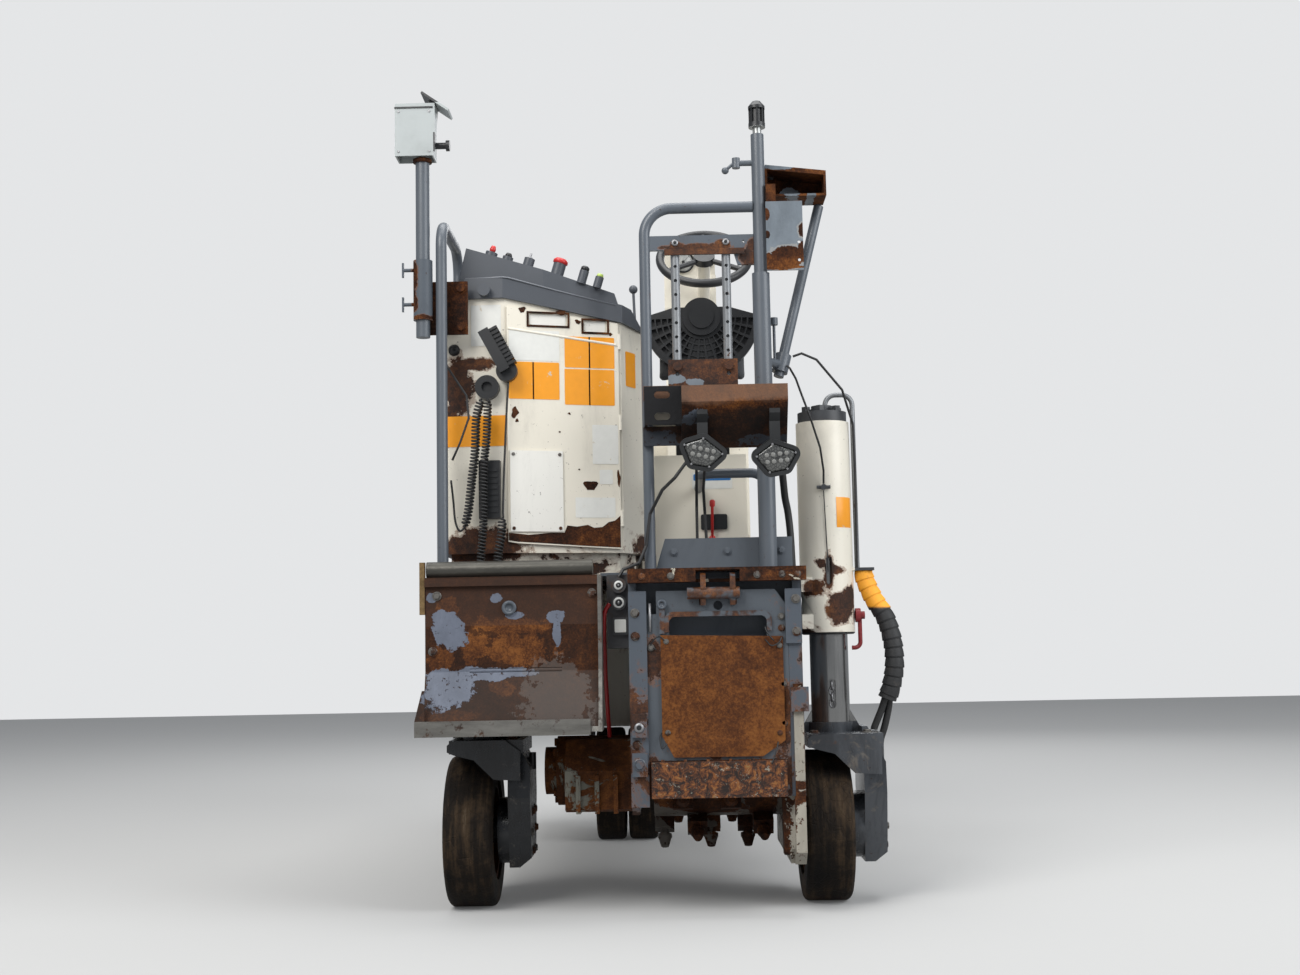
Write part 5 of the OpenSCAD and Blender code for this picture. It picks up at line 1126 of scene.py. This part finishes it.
def mast_box_details():
    """Lid seam round the box, its corner screws, and the collar below it."""
    x0, x1, y0, y1, z0 = -0.652, -0.548, -1.135, -1.065, 2.045
    mid_x, mid_y, seam_z = (x0 + x1) / 2, (y0 + y1) / 2, z0 + 0.135
    bm = bmesh.new()
    for y in (y0 - 0.0012, y1 + 0.0012):
        add_block(bm, (mid_x, y, seam_z), (0.104, 0.0024, 0.004))
    add_block(bm, (x0 - 0.0006, mid_y, seam_z), (0.0012, 0.0724, 0.004))
    add_piece("box_seam", bm, "black", "mast_box", False)
    bolts("box_screws", [(x, y0, z) for x in (x0 + 0.010, x1 - 0.010)
                         for z in (z0 + 0.012, z0 + 0.124)],
          REAR, 0.0035, "mast_box", "steel", 0.002, False)
    lathe("mast_collar", (-0.582, -1.1005, z0 - 0.012), UP, (
        (0.019, 0.0), (0.026, 0.001), (0.026, 0.010), (0.0225, 0.0115)), "rust", "mast_tube")


lamp_details()
gauge_details()
seats()
mast_box_details()


# Housing, scraper, legs and columns
def housing_details():
    """Eye and nuts on the wheel housing, couplings, and bolts along the rear edge."""
    lathe("housing_eye", (-0.346, -1.2, 0.810), REAR, (
        (0.019, -0.001), (0.019, 0.006), (0.011, 0.007), (0.011, 0.002), (0, 0.002)),
        "grey_worn", "left_wheel_housing")
    for name, places, y, radius, node, look in (
            ("housing_bolts", ((-0.534, 0.844), (-0.545, 0.70), (-0.13, 0.845)), -1.2, 0.009,
             "left_wheel_housing", "steel_rusty"),
            ("upstand_bolts", ((0.085, 0.955), (0.23, 0.955), (0.375, 0.955)), -1.05, 0.008,
             "platform_deck", "grey"),
            ("edge_bolts", [(x, 0.884) for x in (0.0, 0.075, 0.30, 0.365, 0.405)], -1.2, 0.007,
             "rear_beam", "steel_rusty")):
        bolts(name, [(x, y, z) for x, z in places], REAR, radius, node, look)
    # Couplings: a white ring, a black disc in the bore as painted shade, and a pin
    for i, (z, outer, inner) in enumerate(((0.866, 0.0120, 0.0070), (0.820, 0.0145, 0.0095))):
        for part, look, rings in (
                ("ring", "white", ((outer, 0.0), (outer, 0.002), (inner, 0.002))),
                ("bore", "black", ((inner, 0.0021), (inner * 0.95, 0.0023))),
                ("pin", "steel", ((inner * 0.4, 0.0022), (inner * 0.4, 0.0034)))):
            lathe(f"coupling_{part}_{i}", (-0.063, -1.1322, z), REAR, rings, look,
                  "valve_block", 30)
    plate("valve_clip", (-0.060, -1.1262, 0.759), REAR, (0.030, 0.034), 0.002, "white_label",
          "valve_block", 0.003)


def washer(name, place, outer, inner, node):
    """Pale washer with a black disc in its hole as painted shade, facing the rear."""
    lathe(name + "_rim", place, REAR, ((outer, 0.0), (outer, 0.0025), (inner, 0.003)),
          "steel", node, 28)
    # Black disc over the hole: painted shade
    lathe(name + "_hole", place, REAR, ((inner, 0.0031), (inner * 0.9, 0.0033)), "black", node,
          28)


def weld(name, start, end, radius=0.0032):
    """Run of small overlapping beads on the scraper's frame."""
    a, b = Vector(start), Vector(end)
    span = (b - a).length
    count = max(4, int(span / 0.004))

    def ripple(reach):
        bead = min(count, round(reach / span * count))
        return radius * (0.75 + 0.35 * (bead * 7 % 5) / 5)

    sweep(name, [a.lerp(b, i / count) for i in range(count + 1)], ripple, "rust_dark",
          "scraper_frame", 8)


# Tie wires at the scraper cover's corners, in millimetres
TIE_WIRES = (
    [(58, -1179, 716), (44, -1183, 728), (30, -1182, 722), (20, -1176, 705), (34, -1175, 694)],
    [(318, -1179, 716), (333, -1184, 700), (352, -1184, 706), (362, -1177, 722)],
    [(340, -1184, 712), (322, -1186, 735), (318, -1181, 750)],
    [(345, -1179, 452), (338, -1187, 428), (326, -1194, 396)],
    [(58, -1179, 452), (44, -1183, 440), (40, -1176, 470), (50, -1174, 486)])


def scraper_details():
    """Locking bar, nuts, tie wires and welds on the scraper, and washers beside and above."""
    back = -1.170
    lathe("lock_eye", (0.0505, back - 0.010, 0.812), REAR, (
        (0.013, 0), (0.013, 0.004), (0.007, 0.005), (0.007, 0.001), (0, 0.001)), "grey_worn",
        "scraper_frame")
    sweep("lock_rod", [Vector((0.019, back - 0.0045, z)) for z in (0.7405, 0.778, 0.815)],
          0.0036, "steel", "scraper_frame")
    for name, places, y, radius, node, look, height in (
            ("scraper_nuts", ((0.020, 0.70), (0.362, 0.775), (0.362, 0.745), (0.362, 0.60),
                              (0.362, 0.50)), back, 0.007, "scraper_frame", "steel_rusty", 0.008),
            ("cover_nuts", ((0.060, 0.715), (0.355, 0.70), (0.060, 0.48), (0.350, 0.475)),
             back - 0.008, 0.0055, "scraper_cover", "steel_rusty", 0.005),
            ("guide_nuts", ((-0.020, 0.79), (-0.020, 0.73), (-0.020, 0.45), (0.400, 0.82),
                            (0.400, 0.735)), -1.1815, 0.009, "drum_housing", "steel_rusty", 0.008),
            ("spacer_nuts", ((-0.014, 0.40),), -1.1975, 0.012, "drum_housing", "grey_worn",
             0.014)):
        bolts(name, [(x, y, z) for x, z in places], REAR, radius, node, look, height)
    for i, route in enumerate(TIE_WIRES):
        sweep(f"tie_wire_{i}", smooth_path(route, 6), 0.0018, "black", "scraper_cover", 6)
    weld("bar_weld", (0.018, back - 0.001, 0.4055), (0.363, back - 0.001, 0.4055))
    for i, x in enumerate((0.1515, 0.2435)):
        weld(f"lug_weld_{i}", (x, back - 0.002, 0.809), (x, back - 0.002, 0.838))
    washer("spacer_washer", (-0.014, -1.1975, 0.495), 0.0125, 0.0065, "drum_housing")
    for i, x in enumerate((0.105, 0.244)):
        washer(f"bar_washer_{i}", (x, -1.0862, 1.799), 0.0095, 0.0045, "guard_frame")


def add_link(bm, center, across, radius=0.0024, sides=8):
    """Oval chain link, its width along the vector across."""
    path = [center + across * 0.006 * math.cos(a) + UP * 0.0105 * math.sin(a)
            for a in turns(16)]
    loops = []
    for i, point in enumerate(path):
        ahead = (path[(i + 1) % len(path)] - path[i - 1]).normalized()
        side = ahead.cross(Vector((0.13, 0.9, 0.31))).normalized()
        loops.append(circle(point, side, side.cross(ahead), radius, sides))
    skin(bm, loops, True)


LEG_Y = -0.85


def leg_details():
    """Bolts of the motor flange and the foot, and the chain in the slot of the tube."""
    for side, wheel_x in (("left", -0.482), ("right", 0.488)):
        node = f"{side}_leg"
        ring = [(wheel_x + 0.1625, LEG_Y + 0.062 * math.cos(a), 0.205 + 0.062 * math.sin(a))
                for a in turns(6)]
        bolts(f"{side}_arm_bolts", ring, (1, 0, 0), 0.010, node)
        bolts(f"{side}_foot_bolts", [(wheel_x + dx, -0.95, 0.460) for dx in (-0.03, 0.115)],
              UP, 0.011, node)
        bm = bmesh.new()
        for i in range(4):
            add_link(bm, Vector((wheel_x + 0.027, -0.8955, 0.538 + i * 0.0165)),
                     Vector((0, 1, 0) if i % 2 else (1, 0, 0)))
        add_piece(f"{side}_chain", bm, "steel", node)


def column_details():
    """Blank foil round the right column, and a wiper ring at each column's foot."""
    radius, proud = 0.0752, 0.0758
    bm = bmesh.new()
    skin(bm, [[(RIGHT_COLUMN_X + r * math.cos(a), LEG_Y + r * math.sin(a), z)
               for a in map(math.radians, range(-70, -24, 5))]
              for r, z in ((radius, 1.024), (proud, 1.026), (proud, 1.107), (radius, 1.109))],
         strip=True)
    add_piece("column_foil", bm, "orange", "right_column")
    for side, x in (("left", LEFT_COLUMN_X), ("right", RIGHT_COLUMN_X)):
        lathe(f"{side}_wiper", (x, LEG_Y, 0.728), UP, (
            (0.0555, 0.0), (0.070, 0.0), (0.0745, 0.003), (0.0745, 0.012), (0.0555, 0.012)),
            "black", f"{side}_column", 48, True)


def panel_details():
    """Blank plates and a red lever on the pedestal behind the lamps."""
    y, node = -0.6005, "seat_pedestal"
    plate("panel_blue", (0.206, y, 1.196), REAR, (0.120, 0.050), 0.0008, "white_label", node)
    plate("panel_blue_bar", (0.206, y - 0.0006, 1.206), REAR, (0.112, 0.020), 0.0008, "blue",
          node)
    plate("panel_dark", (0.209, y, 1.071), REAR, (0.079, 0.046), 0.010, "black", node, 0.006,
          bevel=0.001)
    bm = bmesh.new()
    add_rings(bm, (0.202, -0.622, 1.016), (0.02, 0, 1), (
        (0.0045, 0), (0.0045, 0.098), (0.008, 0.102), (0.0085, 0.116), (0.005, 0.120),
        (0, 0.121)), 18)
    add_rings(bm, (0.202, -0.612, 1.020), REAR, ((0.010, -0.012), (0.010, 0.014)), 16)
    add_piece("red_lever", bm, "red", node)


def front_details():
    """Front end, finished as machines of this class are: lamps, latches and bolts."""
    node = "engine_hood"
    low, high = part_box(node)
    mid = (low[0] + high[0]) / 2
    for i, x in enumerate((mid - 0.36, mid + 0.36)):
        lathe(f"front_lamp_{i}", (x, 1.128, 1.02), (0, 1, 0.04), (
            (0.047, -0.012), (0.050, -0.004), (0.050, 0.0), (0.044, 0.001), (0.040, -0.003),
            (0.020, 0.000), (0, 0.001)), "lens", node, 36)
    bolts("hood_bolts", [(x, y, 1.43) for x in (mid - 0.30, mid + 0.30) for y in (0.2, 0.86)],
          UP, 0.009, node, "black", 0.006)
    for i, (x, sign) in enumerate(((low[0], -1), (high[0], 1))):
        plate(f"hood_latch_{i}", (x + sign * 0.0001, 0.24, 0.96), (sign, 0, 0), (0.07, 0.038),
              0.008, "black", node, 0.008, bevel=0.0015)
    front_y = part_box("counterweight")[1][1]
    bolts("weight_bolts", [(mid + dx, front_y, z) for dx in (-0.30, 0.30) for z in (0.52, 0.78)],
          (0, 1, 0), 0.019, "counterweight", height=0.014)


housing_details()
scraper_details()
leg_details()
column_details()
panel_details()
front_details()


# Floor, backdrop and light
def add_floor(reach=14.0, color=(0.44, 0.44, 0.435)):
    """Plain pale floor, a little brighter to the camera, mirrors and glass."""
    n = Nodes("floor_pale")
    camera, glossy, through = [n.add("LightPath", f"Is {ray} Ray")
                               for ray in ("Camera", "Glossy", "Transmission")]
    diffuse = n.add("BsdfDiffuse", 0, {"Color": color, "Roughness": 0.6})
    glow = n.add("Emission", 0, {"Color": color, "Strength": (camera | glossy | through) * 0.10})
    n.add("OutputMaterial", 0, {"Surface": n.add("AddShader", 0, {0: diffuse, 1: glow})})
    mesh = bpy.data.meshes.new("floor")
    mesh.from_pydata([(-reach, -reach, 0), (reach, -reach, 0), (reach, reach, 0),
                      (-reach, reach, 0)], [], [(0, 1, 2, 3)])
    mesh.materials.append(n.owner)
    add_object("floor", mesh)


def add_world():
    """Soft grey light, and a pale backdrop to the camera and through glass."""
    n = Nodes("studio", bpy.data.worlds.new("studio"))
    scene.world = n.owner
    seen = n.add("LightPath", "Is Camera Ray") | n.add("LightPath", "Is Transmission Ray")
    ambient = n.add("Background", 0, {"Color": (0.86, 0.90, 0.96), "Strength": 0.44})
    shown = n.add("Background", 0, {"Color": (0.78, 0.79, 0.80), "Strength": 1.0})
    n.add("OutputWorld", 0, {"Surface": n.add("MixShader", 0, {0: seen, 1: ambient, 2: shown})})


def add_light(name, place, target, size, power, color=(1, 1, 1)):
    data = bpy.data.lights.new(name, "AREA")
    data.shape, data.size, data.energy, data.color = "SQUARE", size, power, color
    lamp = add_object(name, data)
    lamp.location = place
    aim = Vector(target) - Vector(place)
    lamp.rotation_euler = aim.to_track_quat("-Z", "Y").to_euler()


add_floor()
add_world()
add_light("key", (-2.6, -5.2, 5.0), (0, -0.6, 1.0), 3.2, 300, (1.0, 0.985, 0.96))
add_light("fill", (4.4, -3.6, 3.2), (0, -0.4, 1.0), 3.6, 200, (0.96, 0.98, 1.0))
add_light("top", (0.0, -0.6, 6.0), (0, -0.3, 0.8), 4.2, 215)
add_light("back", (1.5, 5.4, 4.2), (0, 0.6, 1.0), 3.4, 85)
